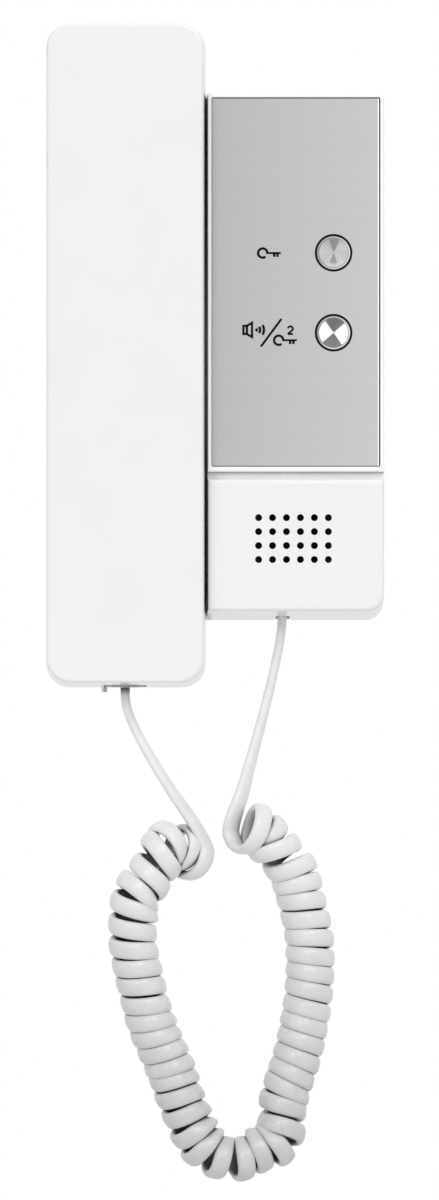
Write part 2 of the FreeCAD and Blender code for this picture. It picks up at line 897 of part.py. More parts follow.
def terminal_block():
    """The row of screw terminals on the board's back, with a wire hole below and a screw well behind each."""
    xs = terminal_places()
    z0 = entry_height / 2
    z1 = z0 + terminal_height
    back = board_back_out - terminal_depth
    block = slab(xs[0] - terminal_pitch / 2, xs[-1] + terminal_pitch / 2, z0, z1, back, board_back_out)
    cuts = []
    well = terminal_screw + 2 * running_fit
    for x in xs:
        cuts.append(upright_bar(x, board_back_out - terminal_wire_hole, z0 - 1, terminal_screw_z(),
                                terminal_wire_hole))
        cuts.append(disc(x, terminal_screw_z(), well, back - 1, back + terminal_well))
    return cut_all(block, cuts)


def terminal_screws():
    """The slotted clamp screws in the terminal block's wells."""
    screws = []
    head_out = board_back_out - terminal_depth + terminal_screw_sunk
    z = terminal_screw_z()
    for x in terminal_places():
        body = disc(x, z, terminal_screw, head_out, head_out - terminal_screw_sunk + terminal_well)
        half = screw_slot / 2
        slot = slab(x - terminal_screw, x + terminal_screw, z - half, z + half, head_out - 1,
                    head_out + screw_slot_depth)
        screws.append(body.cut(slot))
    return Part.makeCompound(screws)


def capacitors():
    """Three cans in a row, midway between the lower button and the board's lower screws in the frame."""
    cans = []
    z = (lower_button_z + frame_pillar_places()[0][1]) / 2
    for i in range(capacitor_count):
        x = column_left + capacitor_from_left + i * (capacitor_size + capacitor_gap)
        top = board_front_out + capacitor_height
        can = disc(x, z, capacitor_size, board_front_out, top)
        cans.append(rounded(can, capacitor_round, on_front(top)))
    return Part.makeCompound(cans)


def audio_chip():
    """The speech chip, with a row of legs along each side."""
    x = column_left + chip_from_left
    z = upper_button_z
    body = slab(x - chip_length / 2, x + chip_length / 2, z - chip_width / 2, z + chip_width / 2,
                board_front_out + chip_stand, board_front_out + chip_height)
    legs = []
    reach = chip_length / 2 + chip_leg_length
    half = chip_leg_width / 2
    for i in range(chip_legs):
        leg_z = z + (i - (chip_legs - 1) / 2) * chip_leg_pitch
        legs.append(slab(x - reach, x + reach, leg_z - half, leg_z + half, board_front_out,
                         board_front_out + chip_leg_thickness))
    return join([body] + legs)


# Speaker behind the grille

def ringer_front_out():
    """Where the speaker's front stands, behind its gasket."""
    return column_out - housing_wall - gasket_thickness


def turned(x, z, points):
    """A piece turned about a line out from the wall, from a profile of points (radius, out)."""
    corners = [V(x + radius, -out, z) for radius, out in points]
    face = Part.Face(Part.makePolygon(corners + corners[:1]))
    return face.revolve(V(x, 0, z), V(0, 1, 0), 360)


def ringer_gasket():
    """The foam ring between the speaker and the grille."""
    front = column_out - housing_wall
    inner = ringer_size - 2 * gasket_width
    return ring(grille_x, grille_z, ringer_size, inner, front - gasket_thickness, front)


def ringer_basket():
    """The speaker's pressed metal frame."""
    front = ringer_front_out()
    back = front - basket_depth
    rim = ringer_size / 2
    neck = ringer_magnet / 2
    points = [
        (rim, front),
        (rim - gasket_width, front),
        (rim - gasket_width, front - basket_thickness),
        (neck + basket_neck_inside, back + basket_thickness),
        (basket_hole / 2, back + basket_thickness),
        (basket_hole / 2, back),
        (neck + basket_neck_outside, back),
        (rim, front - basket_thickness),
    ]
    return turned(grille_x, grille_z, points)


def ringer_cone():
    """The thin cone, with its dome, inside the basket."""
    front = ringer_front_out()
    rim = ringer_size / 2 - gasket_width
    deep = front - basket_depth * cone_depth_share
    dome = cone_dome / 2
    points = [
        (rim, front),
        (rim - cone_edge, front),
        (dome, deep),
        (0, deep + cone_dome_height),
        (0, deep + cone_dome_height - cone_thickness),
        (dome + cone_slant, deep - cone_thickness),
        (rim - cone_edge + cone_slant, front - cone_thickness),
        (rim, front - cone_thickness),
    ]
    return turned(grille_x, grille_z, points)


def ringer_magnet_piece():
    """The round magnet on the basket's back."""
    back = ringer_front_out() - basket_depth
    return disc(grille_x, grille_z, ringer_magnet, back - ringer_magnet_height, back)


# Hook switch

def microswitch_z():
    """The microswitch's plunger is under the lever's tail."""
    return hook_pivot_height - hook_tail_reach


def tail_out():
    """The wall side of the lever's tail."""
    return hook_pivot_out + hook_barrel / 2 - hook_arm_thickness


def microswitch_base_out():
    """The microswitch's foot, set so that its plunger ends just short of the lever's tail."""
    return tail_out() - microswitch_plunger_height - microswitch_height - hook_tail_gap


def hook_lever():
    """The lever that the ear cap holds down: barrel, arm, nose through the pocket's floor, and tail."""
    x0 = handset_x - hook_width / 2
    x1 = handset_x + hook_width / 2
    pivot = hook_pivot_height
    nose_z = pivot + hook_nose_reach
    arm_top = hook_arm_out + hook_arm_thickness
    barrel = cross_bar(x0, x1, hook_pivot_out, pivot, hook_barrel)
    knee_z = pivot + hook_knee
    wide = hook_arm_root_wide
    narrow = hook_arm_root_narrow
    arm = side_prism([
        (hook_pivot_out - wide, pivot - narrow),
        (hook_arm_out, knee_z),
        (hook_arm_out, nose_z + hook_nose_length / 2),
        (arm_top, nose_z + hook_nose_length / 2),
        (arm_top, knee_z + hook_knee_slant),
        (hook_pivot_out + narrow, pivot + wide),
    ], x0, x1)
    nose_tip = ear_face_out - hook_nose_gap
    half = hook_nose_width / 2
    reach = hook_nose_length / 2
    nose = slab(handset_x - half, handset_x + half, nose_z - reach, nose_z + reach, arm_top - hook_nose_root,
                nose_tip)
    nose = rounded(nose, hook_nose_round, on_front(nose_tip))
    tail_end = pivot - hook_tail_reach - hook_tail_past_switch
    tail = slab(handset_x - hook_tail_width / 2, handset_x + hook_tail_width / 2, tail_end, pivot, tail_out(),
                tail_out() + hook_arm_thickness)
    bore = cross_bar(x0 - 1, x1 + 1, hook_pivot_out, pivot, hook_pin + 2 * hook_pin_fit)
    return join([barrel, arm, nose, tail]).cut(bore)


def hook_pin_bar(size, end_gap):
    """The pin through the lever and the two lugs, or with an end gap the hole for it."""
    reach = hook_width / 2 + hook_side_gap + hook_lug_thickness + hook_pin_overhang + end_gap
    return cross_bar(handset_x - reach, handset_x + reach + spring_turns * spring_pitch, hook_pivot_out,
                     hook_pivot_height, size)


def microswitch_body():
    """The microswitch that the lever's tail presses when the handset is lifted."""
    z = microswitch_z()
    base = microswitch_base_out()
    top = base + microswitch_height
    half = microswitch_width / 2
    reach = microswitch_length / 2
    body = slab(handset_x - half, handset_x + half, z - reach, z + reach, base, top)
    depth = microswitch_plunger_hidden + microswitch_plunger_height
    bore = disc(handset_x, z, microswitch_plunger + 2 * running_fit, top - depth, top + 1)
    return body.cut(bore)


def microswitch_plunger_piece():
    """The microswitch's plunger, its tip just under the lever's tail."""
    top = microswitch_base_out() + microswitch_height
    return disc(handset_x, microswitch_z(), microswitch_plunger, top - microswitch_plunger_hidden,
                top + microswitch_plunger_height)


def tube_profile(start, direction, size, sides):
    """A regular polygon square to a path at its start, with its first corner beside the path."""
    nearly_forward = V(0, -1, 0.1)
    across = direction.cross(nearly_forward).normalize()
    up = direction.cross(across)
    corners = []
    for i in range(sides + 1):
        turn = 2 * math.pi * i / sides
        corners.append(start + across * (size / 2 * math.cos(turn)) + up * (size / 2 * math.sin(turn)))
    return Part.makePolygon(corners)


def swept(edges, start, direction, size, sides):
    """A solid tube along a chain of edges."""
    return Part.Wire(edges).makePipeShell([tube_profile(start, direction, size, sides)], True, False)


def arc_from(start, direction, end):
    """The arc, or line, that leaves start in this direction and reaches end."""
    chord = end - start
    turn_axis = direction.cross(chord)
    if turn_axis.Length < 1e-7:
        return Part.makeLine(start, end)
    inward = turn_axis.cross(direction).normalize()
    radius = chord.dot(chord) / (2 * chord.dot(inward))
    centre = start + inward * radius
    middle = centre + ((start + end) * 0.5 - centre).normalize() * radius
    return Part.Arc(start, middle, end).toShape()


def biarc(start, start_way, end, end_way):
    """Two arcs from start to end that meet smoothly and keep the directions at both ends."""
    chord = end - start
    both = start_way + end_way
    spread = 2 * (1 - start_way.dot(end_way))
    reach = (math.sqrt(chord.dot(both) ** 2 + spread * chord.dot(chord)) - chord.dot(both)) / spread
    near = start + start_way * reach
    far = end - end_way * reach
    middle = (near + far) * 0.5
    return [arc_from(start, start_way, middle), arc_from(middle, (far - near).normalize(), end)]


def hook_spring():
    """The small coil spring on the pin, beside the lever's right lug."""
    lug_right = handset_x + hook_width / 2 + hook_side_gap + hook_lug_thickness
    x0 = lug_right + spring_wire / 2 + spring_side_gap
    radius = hook_pin / 2 + spring_wire / 2 + spring_pin_gap
    lead = spring_pitch / (2 * math.pi)

    def point(turn):
        y = -hook_pivot_out + radius * math.cos(turn)
        return V(x0 + lead * turn, y, hook_pivot_height + radius * math.sin(turn))

    def way(turn):
        return V(lead, -radius * math.sin(turn), radius * math.cos(turn)).normalize()

    edges = []
    for i in range(2 * spring_turns):
        a = math.pi * i
        b = math.pi * (i + 1)
        edges += biarc(point(a), way(a), point(b), way(b))
    return swept(edges, point(0), way(0), spring_wire, 4)


# Cord plugs and jacks, which open downwards

def jack(x, out, mouth):
    """A jack that opens downwards: a block with a stepped socket for the plug and its latch."""
    half = jack_width / 2
    block = slab(x - half, x + half, mouth, mouth + jack_length, out - jack_height / 2, out + jack_height / 2)
    socket = slab(x - plug_width / 2 - jack_fit, x + plug_width / 2 + jack_fit, mouth - 1, mouth + jack_depth,
                  out - plug_height / 2 - jack_fit, out + plug_height / 2 + jack_fit)
    latch = plug_latch_width / 2 + jack_fit
    roof = out + plug_height / 2
    groove = slab(x - latch, x + latch, mouth - 1, mouth + jack_depth, roof,
                  roof + plug_latch_height + jack_fit)
    return block.cut(socket.fuse(groove))


def plug(x, out, mouth):
    """The clear plug pushed home in a jack, with its latch on the front and its contact slots at the end."""
    tip = mouth + jack_depth
    body = slab(x - plug_width / 2, x + plug_width / 2, tip - plug_length, tip, out - plug_height / 2,
                out + plug_height / 2)
    latch_top = tip - plug_latch_from_tip
    latch = slab(x - plug_latch_width / 2, x + plug_latch_width / 2, latch_top - plug_latch_length, latch_top,
                 out + plug_height / 2, out + plug_height / 2 + plug_latch_height)
    slots = []
    half = plug_slot_width / 2
    back = out - plug_height / 2
    for i in range(plug_contacts):
        slot_x = x + (i - (plug_contacts - 1) / 2) * plug_contact_pitch
        slots.append(slab(slot_x - half, slot_x + half, tip - plug_slot_length, tip + 1, back - 1,
                          back + plug_slot_depth))
    return cut_all(body.fuse(latch), slots)


def plug_end(mouth):
    """The height of the face that the lead comes out of."""
    return mouth + jack_depth - plug_length


# Handset

def handset_form(inset):
    """The handset's outer form, or with an inset the room inside it: a block with bowed faces that tapers
    towards the front, most on its right and at its foot."""
    x0 = handset_left + inset
    x1 = handset_right - inset
    z0 = handset_bottom + inset
    z1 = handset_top - inset
    radius = handset_corner - inset
    near = handset_near_draft
    side = handset_side_draft
    end = handset_end_draft
    back_out = handset_back_out - 1
    front_out = handset_front_out + 1
    back = outline(x0, x1, z0, z1, back_out, (radius,) * 4)
    front = outline(x0 + near, x1 - side, z0 + end, z1 - near, front_out, (radius,) * 4)
    block = Part.makeLoft([back, front], True, True)
    return block.common(handset_profile(inset))


def handset_profile(inset):
    """The handset seen from the side: a bowed front and a back with a hollow for the fingers."""
    x0 = handset_left - 5
    middle_z = (handset_top + handset_bottom) / 2
    top = handset_top + 5
    bottom = handset_bottom - 5
    front = handset_front_out - inset
    back = handset_back_out + inset
    half_grip = grip_length / 2
    corners = {
        "front_low": V(x0, -(front - handset_front_bow), bottom),
        "front_mid": V(x0, -front, middle_z),
        "front_high": V(x0, -(front - handset_front_bow), top),
        "back_high": V(x0, -back, top),
        "grip_high": V(x0, -back, half_grip),
        "grip_mid": V(x0, -(back + grip_depth), 0),
        "grip_low": V(x0, -back, -half_grip),
        "back_low": V(x0, -back, bottom),
    }
    edges = [
        Part.Arc(corners["front_low"], corners["front_mid"], corners["front_high"]).toShape(),
        Part.makeLine(corners["front_high"], corners["back_high"]),
        Part.makeLine(corners["back_high"], corners["grip_high"]),
        Part.Arc(corners["grip_high"], corners["grip_mid"], corners["grip_low"]).toShape(),
        Part.makeLine(corners["grip_low"], corners["back_low"]),
        Part.makeLine(corners["back_low"], corners["front_low"]),
    ]
    return Part.Face(Part.Wire(edges)).extrude(V(handset_width + 10, 0, 0))


def on_bowed_front(edge):
    """Tells the edges round the handset's front face."""
    box = edge.BoundBox
    lowest = handset_front_out - handset_front_bow - 0.8
    return -box.YMax > lowest and -box.YMin > lowest


def handset_outside():
    """The handset's outer form with its front edges rounded."""
    return rounded(handset_form(0), handset_front_round, on_bowed_front)


def handset_slice(out0, out1):
    """A slab over the whole handset, between two distances out."""
    return slab(handset_left - 5, handset_right + 5, handset_bottom - 5, handset_top + 5, out0, out1)


def handset_screw_places():
    """The two screws that hold the handset's shells together, one from its top and one from its bottom."""
    return [(handset_x, handset_top - handset_screw_upper), (handset_x, handset_bottom + handset_screw_lower)]


def handset_outer_shell():
    """The handset's smooth front shell, with a pillar for each screw."""
    room = handset_form(handset_wall)
    front = handset_slice(handset_split_out, handset_front_out + 5)
    shell = handset_outside().common(front).cut(room)
    posts = []
    for x, z in handset_screw_places():
        base = handset_screw_seat_out + handset_screw_base
        post = disc(x, z, pillar_size, base, handset_front_out - handset_wall / 2)
        posts.append(post.common(handset_form(handset_wall / 2)))
    shell = join([shell] + posts)
    pilots = []
    for x, z in handset_screw_places():
        base = handset_screw_seat_out + handset_screw_base
        pilots.append(disc(x, z, screw_size, base - 1, base + screw_bite + 1))
    return cut_all(shell, pilots)


def sound_holes():
    """A middle hole and a ring of holes in the ear cap."""
    places = [(handset_x, ear_z)]
    for i in range(ear_hole_count):
        turn = 2 * math.pi * i / ear_hole_count
        places.append((handset_x + ear_hole_ring * math.cos(turn), ear_z + ear_hole_ring * math.sin(turn)))
    return [disc(x, z, ear_hole, ear_face_out - 1, ear_face_out + handset_wall + 1) for x, z in places]


def microphone_z():
    """The height of the microphone."""
    return handset_bottom + microphone_from_bottom


def mouth_slots():
    """Three short slots in the mouth cap, in front of the microphone."""
    slots = []
    long = sound_slot_length / 2
    thin = sound_slot / 2
    for i in (-1, 0, 1):
        z = microphone_z() + i * sound_slot_pitch
        slots.append(slab(handset_x - long, handset_x + long, z - thin, z + thin, mouth_face_out - 1,
                          mouth_face_out + handset_wall + 1))
    return slots


def mouth_block(inset, out0, out1):
    """The mouth cap, or with an inset the room inside it."""
    half = mouth_cap_width / 2 - inset
    return plate(handset_x - half, handset_x + half, mouth_bottom + inset, mouth_top - inset, out0, out1,
                 mouth_cap_corner - inset)


def handset_inner_shell():
    """The handset's rear shell: ear cap and mouth cap, screw bosses, the lip and the jack's cut-out."""
    room = handset_form(handset_wall)
    back = handset_slice(handset_back_out - 1, handset_split_out)
    shell = handset_outside().common(back)
    ear = disc(handset_x, ear_z, ear_cap, ear_face_out, handset_back_out + 1)
    ear = rounded(ear, ear_cap_round, on_front(ear_face_out))
    mouth = mouth_block(0, mouth_face_out, handset_back_out + 1)
    bosses = []
    for x, z in handset_screw_places():
        boss = disc(x, z, handset_screw_boss, handset_back_out, handset_screw_seat_out + handset_screw_base)
        bosses.append(boss.common(handset_form(handset_wall / 2)))
    inside_lip = handset_form(handset_wall + shell_lip_fit + shell_lip_wall)
    lip = handset_form(handset_wall + shell_lip_fit).cut(inside_lip)
    lip = lip.common(handset_slice(handset_split_out, handset_split_out + shell_lip_height))
    root = handset_form(handset_wall / 2).cut(inside_lip)
    root = root.common(handset_slice(handset_split_out - shell_lip_root, handset_split_out))
    shell = shell.cut(room)
    shell = join([shell, ear, mouth, root, lip] + bosses)
    peg = upright_bar(handset_jack_x - cord_peg_offset, handset_back_out + handset_wall,
                      handset_bottom - cord_peg_length, handset_bottom + cord_peg_root, cord_peg)
    shell = shell.fuse(peg)
    inside = handset_back_out + handset_wall
    half_cut = jack_width / 2 + handset_jack_cut_gap
    cuts = [
        disc(handset_x, ear_z, ear_cap - 2 * handset_wall, ear_face_out + handset_wall,
             inside + root_overlap / 2),
        mouth_block(handset_wall, mouth_face_out + handset_wall, inside + root_overlap / 2),
        slab(handset_jack_x - half_cut, handset_jack_x + half_cut, handset_bottom - 3,
             handset_bottom + handset_wall + 2, inside,
             handset_jack_out + jack_height / 2 + handset_jack_cut_height_gap),
    ]
    for x, z in handset_screw_places():
        cuts.append(disc(x, z, screw_size + 2 * screw_hole_fit, handset_back_out - 1, handset_split_out))
        well = screw_head + 2 * handset_screw_well_gap
        cuts.append(disc(x, z, well, handset_back_out - 1, handset_screw_seat_out))
    return cut_all(shell, cuts + sound_holes() + mouth_slots())


def handset_screws():
    """The two screws of the handset."""
    screws = []
    for x, z in handset_screw_places():
        screws.append(screw(x, z, handset_screw_seat_out - screw_head_height,
                            handset_screw_seat_out + handset_screw_base + screw_bite))
    return Part.makeCompound(screws)


def receiver_gasket():
    """The foam ring in the ear cap."""
    back = ear_face_out + handset_wall
    inner = receiver_size - 2 * gasket_width
    return ring(handset_x, ear_z, receiver_size, inner, back, back + gasket_thickness)


def ear_receiver():
    """The receiver capsule: a shallow can with a stepped back."""
    front = ear_face_out + handset_wall + gasket_thickness
    rim = receiver_size / 2
    points = [
        (0, front + receiver_face_sunk),
        (rim - receiver_face_border, front + receiver_face_sunk),
        (rim - receiver_flat_rim, front),
        (rim, front),
        (rim, front + receiver_rim_depth),
        (rim - receiver_back_border, front + receiver_height),
        (0, front + receiver_height),
    ]
    return turned(handset_x, ear_z, points)


def receiver_magnet_piece():
    """The magnet on the receiver's inner side."""
    front = ear_face_out + handset_wall + gasket_thickness + receiver_height
    return disc(handset_x, ear_z, receiver_magnet, front, front + receiver_magnet_height)


def microphone_boot():
    """The rubber boot that seals the microphone to the mouth cap."""
    front = mouth_face_out + handset_wall
    z = microphone_z()
    back = front + microphone_height
    bore = microphone_size + 2 * running_fit
    boot = disc(handset_x, z, bore + 2 * microphone_boot_wall, front, back)
    room = disc(handset_x, z, bore, front + microphone_boot_floor, back + 1)
    port = disc(handset_x, z, microphone_size - 2 * microphone_port_lip, front - 1, front + 1)
    return cut_all(boot, [room, port])


def microphone():
    """The microphone capsule in its boot."""
    front = mouth_face_out + handset_wall + microphone_boot_floor
    return disc(handset_x, microphone_z(), microphone_size, front, front + microphone_height)


# Cord

def coil_middle():
    """The middle line of the curly part as a smooth curve."""
    line = Part.BSplineCurve()
    line.interpolate([V(x, -out, z) for x, out, z in coil_line])
    return line


def coil_points():
    """Points along the wire of the curly part, a fixed number to a turn, left-handed round its middle line.

    The pitch widens where the line bends, so that the turns stay apart on the inside of the bend.
    """
    line = coil_middle()
    radius = (coil_outer - cord_size) / 2
    side = V(1, 0, 0)
    reached = 0
    points = []
    while reached < line.length():
        place = line.parameterAtDistance(reached)
        way = line.tangent(place)[0]
        side = (side - way * side.dot(way)).normalize()
        turn = math.radians(coil_start_turn) - 2 * math.pi * len(points) / coil_steps
        spoke = side * math.cos(turn) + way.cross(side) * math.sin(turn)
        points.append(line.value(place) + spoke * radius)
        pitch = max(coil_pitch, (cord_size + coil_gap) / (1 - line.curvature(place) * radius))
        reached += pitch / coil_steps
    return points


def coil_ways(points):
    """The direction of the wire at each of its points but the first and the last."""
    return [(points[i + 1] - points[i - 1]).normalize() for i in range(1, len(points) - 1)]


def place_of(point):
    """A point given as right, out, up."""
    x, out, z = point
    return V(x, -out, z)


coil_wire = coil_points()
coil_way = coil_ways(coil_wire)
coil_wire = coil_wire[1:-1]
half_turn = coil_steps // 2
coil_last = len(coil_wire) - 1 - coil_end_steps
coil_stations = list(range(0, coil_last, half_turn)) + [coil_last]
coil_start = place_of(handset_joint)
coil_start_way = place_of(handset_joint_way).normalize()
coil_end = place_of(base_joint)
coil_end_way = -place_of(base_joint_way).normalize()


def coil_edges():
    """The line of the curly part's wire: arcs from half turn to half turn between two straight ends."""
    first = coil_start + coil_start_way * cord_size
    last = coil_end - coil_end_way * cord_size
    edges = [Part.makeLine(coil_start, first)]
    edges += biarc(first, coil_start_way, coil_wire[0], coil_way[0])
    for i, j in zip(coil_stations, coil_stations[1:]):
        edges += biarc(coil_wire[i], coil_way[i], coil_wire[j], coil_way[j])
    edges += biarc(coil_wire[coil_last], coil_way[coil_last], last, coil_end_way)
    edges.append(Part.makeLine(last, coil_end))
    return edges


def curly_cord():
    """The curly part as one tube."""
    return swept(coil_edges(), coil_start, coil_start_way, cord_size, cord_sides)


def coil_least_gap():
    """The least gap between one stretch of the curly part and another, measured on points along its line."""
    points = []
    for edge in coil_edges():
        points += edge.discretize(8)[:-1]
    apart = 2 * coil_outer
    least = coil_outer
    reached = [0]
    for before, after in zip(points, points[1:]):
        reached.append(reached[-1] + before.distanceToPoint(after))
    for i, point in enumerate(points):
        for j in range(i + 1, len(points)):
            along = reached[j] - reached[i]
            if along > 5 * apart:
                break
            if along > apart / 2:
                least = min(least, point.distanceToPoint(points[j]) - cord_size)
    return least


def lead(points, name):
    """A tube of straight runs joined by arcs, each arc as large as its two runs allow."""
    edges = []
    reached = points[0]
    radii = []
    for i in range(1, len(points) - 1):
        back = points[i - 1] - points[i]
        ahead = points[i + 1] - points[i]
        half = (math.pi - back.getAngle(ahead)) / 2
        cut_back = lead_arc_share * min(back.Length, ahead.Length)
        radius = cut_back / math.tan(half)
        back.normalize()
        ahead.normalize()
        start = points[i] + back * cut_back
        end = points[i] + ahead * cut_back
        inward = (back + ahead).normalize()
        middle = points[i] + inward * (radius / math.cos(half) - radius)
        edges.append(Part.makeLine(reached, start))
        edges.append(Part.Arc(start, middle, end).toShape())
        reached = end
        radii.append(round(radius, 1))
    edges.append(Part.makeLine(reached, points[-1]))
    tube = swept(edges, points[0], (points[1] - points[0]).normalize(), cord_size, cord_sides)
    section = Part.Face(tube_profile(V(0, 0, 0), V(0, 0, 1), cord_size, cord_sides)).Area
    length = sum(edge.Length for edge in edges)
    print(name, "radii", radii, "length", round(length, 1), "volume", round(tube.Volume, 1),
          "section times length", round(section * length, 1))
    return tube


def handset_lead():
    """The lead from the handset's plug to the curly part, which it meets end to end."""
    plug_face = V(handset_jack_x, -handset_jack_out, plug_end(handset_jack_mouth))
    points = [plug_face, plug_face - V(0, 0, lead_drop)]
    points += [V(x, -out, z) for x, out, z in handset_lead_line]
    points += [coil_start - coil_start_way * lead_end_run, coil_start]
    return lead(points, "handset_lead")


def base_lead():
    """The lead from the base's plug to the curly part, which it meets end to end."""
    plug_face = V(base_jack_x, -base_jack_out, plug_end(base_jack_mouth))
    points = [plug_face, plug_face - V(0, 0, lead_drop)]
    points += [V(x, -out, z) for x, out, z in base_lead_line]
    points += [coil_end + coil_end_way * lead_end_run, coil_end]
    return lead(points, "base_lead")


pieces = {
    "rear_cover": rear_cover(),
    "front_housing": front_housing(),
    "button_panel_frame": button_panel_frame(),
    "metal_fascia": metal_fascia(),
    "main_board": main_board(),
    "board_screws": board_screws(),
    "cover_screw": cover_screw(),
    "tact_switches": switch_bodies(),
    "terminal_block": terminal_block(),
    "terminal_screws": terminal_screws(),
    "capacitors": capacitors(),
    "audio_chip": audio_chip(),
    "ringer_gasket": ringer_gasket(),
    "ringer_basket": ringer_basket(),
    "ringer_cone": ringer_cone(),
    "ringer_magnet": ringer_magnet_piece(),
    "hook_pin": hook_pin_bar(hook_pin, 0),
    "hook_spring": hook_spring(),
    "hook_microswitch": microswitch_body(),
    "hook_plunger": microswitch_plunger_piece(),
    "hook_lever": hook_lever(),
    "base_jack": jack(base_jack_x, base_jack_out, base_jack_mouth),
    "base_plug": plug(base_jack_x, base_jack_out, base_jack_mouth),
    "handset_outer_shell": handset_outer_shell(),
    "handset_inner_shell": handset_inner_shell(),
    "handset_screws": handset_screws(),
    "receiver_gasket": receiver_gasket(),
    "ear_receiver": ear_receiver(),
    "receiver_magnet": receiver_magnet_piece(),
    "microphone_boot": microphone_boot(),
    "microphone": microphone(),
    "handset_jack": jack(handset_jack_x, handset_jack_out, handset_jack_mouth),
    "handset_plug": plug(handset_jack_x, handset_jack_out, handset_jack_mouth),
    "handset_lead": handset_lead(),
    "curly_cord": curly_cord(),
    "base_lead": base_lead(),
}
for name, (x, z) in zip(("upper", "lower"), button_places()):
    pieces[name + "_button_cap"] = button_cap_piece(x, z)
    pieces[name + "_button_stem"] = button_stem_piece(x, z)
    pieces[name + "_switch_plunger"] = switch_plunger_piece(x, z)

print("curly_cord turns", coil_last / coil_steps, "least gap", round(coil_least_gap(), 2))
os.makedirs("parts", exist_ok=True)
for name, shape in pieces.items():
    shape.exportStep("parts/" + name + ".step")
    box = shape.BoundBox
    print(name, "solids", len(shape.Solids), "valid", shape.isValid(), "volume", round(shape.Volume, 1),
          "x", round(box.XMin, 1), round(box.XMax, 1), "y", round(box.YMin, 1), round(box.YMax, 1),
          "z", round(box.ZMin, 1), round(box.ZMax, 1))
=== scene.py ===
import math

import bmesh
import bpy
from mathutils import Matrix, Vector
from mathutils.geometry import interpolate_bezier


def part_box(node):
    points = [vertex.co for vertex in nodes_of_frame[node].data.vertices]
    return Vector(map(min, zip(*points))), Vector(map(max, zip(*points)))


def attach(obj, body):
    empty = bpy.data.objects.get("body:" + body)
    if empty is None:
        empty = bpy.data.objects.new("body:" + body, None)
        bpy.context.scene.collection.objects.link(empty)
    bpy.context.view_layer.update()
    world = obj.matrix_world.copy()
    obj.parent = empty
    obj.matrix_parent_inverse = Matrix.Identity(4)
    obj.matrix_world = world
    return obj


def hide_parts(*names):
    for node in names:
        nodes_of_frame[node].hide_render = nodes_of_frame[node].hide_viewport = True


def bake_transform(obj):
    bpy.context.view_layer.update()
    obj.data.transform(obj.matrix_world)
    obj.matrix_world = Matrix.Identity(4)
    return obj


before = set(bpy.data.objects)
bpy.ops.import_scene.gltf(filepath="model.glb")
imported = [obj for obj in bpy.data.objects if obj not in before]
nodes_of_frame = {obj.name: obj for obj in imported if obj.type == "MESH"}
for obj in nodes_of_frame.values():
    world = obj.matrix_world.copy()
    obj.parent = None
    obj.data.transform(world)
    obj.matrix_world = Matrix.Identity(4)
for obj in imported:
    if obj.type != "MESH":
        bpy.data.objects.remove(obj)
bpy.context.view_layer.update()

# All tones in this file are display tones of 0 to 255, a grey one or three of red, green and blue.
# A pair of them is the light one and the dark one, and a pair of other values is the least and the most

# Camera: the picture is this high on a plane about halfway through the object's depth, so far from the wall
picture_height = 0.3444
scale_plane_out = 0.025
picture_middle = (-0.0010, -0.0697)
camera_distance = 4.0
camera_reach = 20.0
sensor_height = 36.0

# Room: a white world, whose light on matt surfaces falls off from the sky to the ground over a band about
# the horizon, and two lamps
sky_on_matt = 0.84
ground_on_matt = 0.32
horizon_band = 0.6
key_lamp_place = (0.5, -1.6, 0.9)
key_lamp_target = (0, 0, -0.03)
key_lamp_size = 0.9
key_lamp_watts = 10.0
fill_lamp_place = (-0.5, -1.7, 0.5)
fill_lamp_target = (0, 0, -0.1)
fill_lamp_size = 0.3
fill_lamp_watts = 4.0

# Floor
floor_level = -0.262
floor_half_width = 0.35
floor_front = -0.35
floor_back = 0.12
floor_tones = (238, 234)
floor_cloud_scale = 4
floor_gloss_scale = 9
floor_roughness = (0.6, 0.8)

# Painted shade: narrow places, such as the slot beside the handset, are darkened in the colour: how far a
# surface looks about itself, the open shares at which the shade is full and gone, and the tone in full
# shade
shade_distance = 0.012
shade_samples = 8
shade_full = 0.03
shade_none = 0.16
shade_tone = 4

# Noise: the part of its range that gloss and tone follow, and the narrower part that makes clouds
noise_low, noise_high = 0.3, 0.7
cloud_low, cloud_high = 0.35, 0.65

# Moulded plastics
mould_cloud_scale = 60
mould_gloss_spread = 0.05
mould_grain = 0.01
mould_grain_scale = 2500
mould_grain_depth = 0.00002
shell_tones = (241, 239)
shell_roughness = 0.26
# The frame's white is lighter than the shell's as painted light, to brighten the frame, which the handset
# partly shades
frame_lit_tones = (252, 249)
frame_roughness = 0.26
cover_tones = (236, 232)
cover_roughness = 0.38
cover_grain = 0.15
inner_tones = (228, 222)
inner_roughness = 0.4
black_tones = (34, 28)
black_roughness = 0.35
green_tones = ((38, 110, 62), (30, 96, 54))
green_roughness = 0.4
red_tones = ((190, 60, 40), (176, 50, 34))
red_roughness = 0.4
ink_tones = (5, 3)
ink_roughness = 0.6
ink_specular = 0.1

# The plugs' clear plastic
clear_ior = 1.49
clear_transmission = 0.85
clear_cloud_scale = 500
clear_tones = (246, 228)
clear_roughness = (0.08, 0.16)

# Plain metals
metal_mark_scale = 900
metal_gloss_spread = 0.3
metal_skin_scale = 4000
metal_skin_strength = 0.1
metal_skin_depth = 0.00001
steel_tones = (205, 170)
steel_roughness = 0.3
dark_metal_tones = (120, 90)
dark_metal_roughness = 0.4

# Foam and pressed paper
pore_scale = 1800
pore_light = 1.6
pore_roughness = (0.75, 0.95)
pore_strength = 0.3
pore_depth = 0.0001
foam_tone = 24
paper_tone = 20

# Circuit board: the noise's narrow band is the edge between tracks and bare mask
board_roughness = 0.35
track_stretch = (700, 1, 160)
track_band = (0.49, 0.51)
track_tones = ((22, 92, 48), (38, 122, 66))
track_strength = 0.1
track_depth = 0.00005
pad_scale = 320
pad_band = (0.18, 0.2)
pad_tone = 200
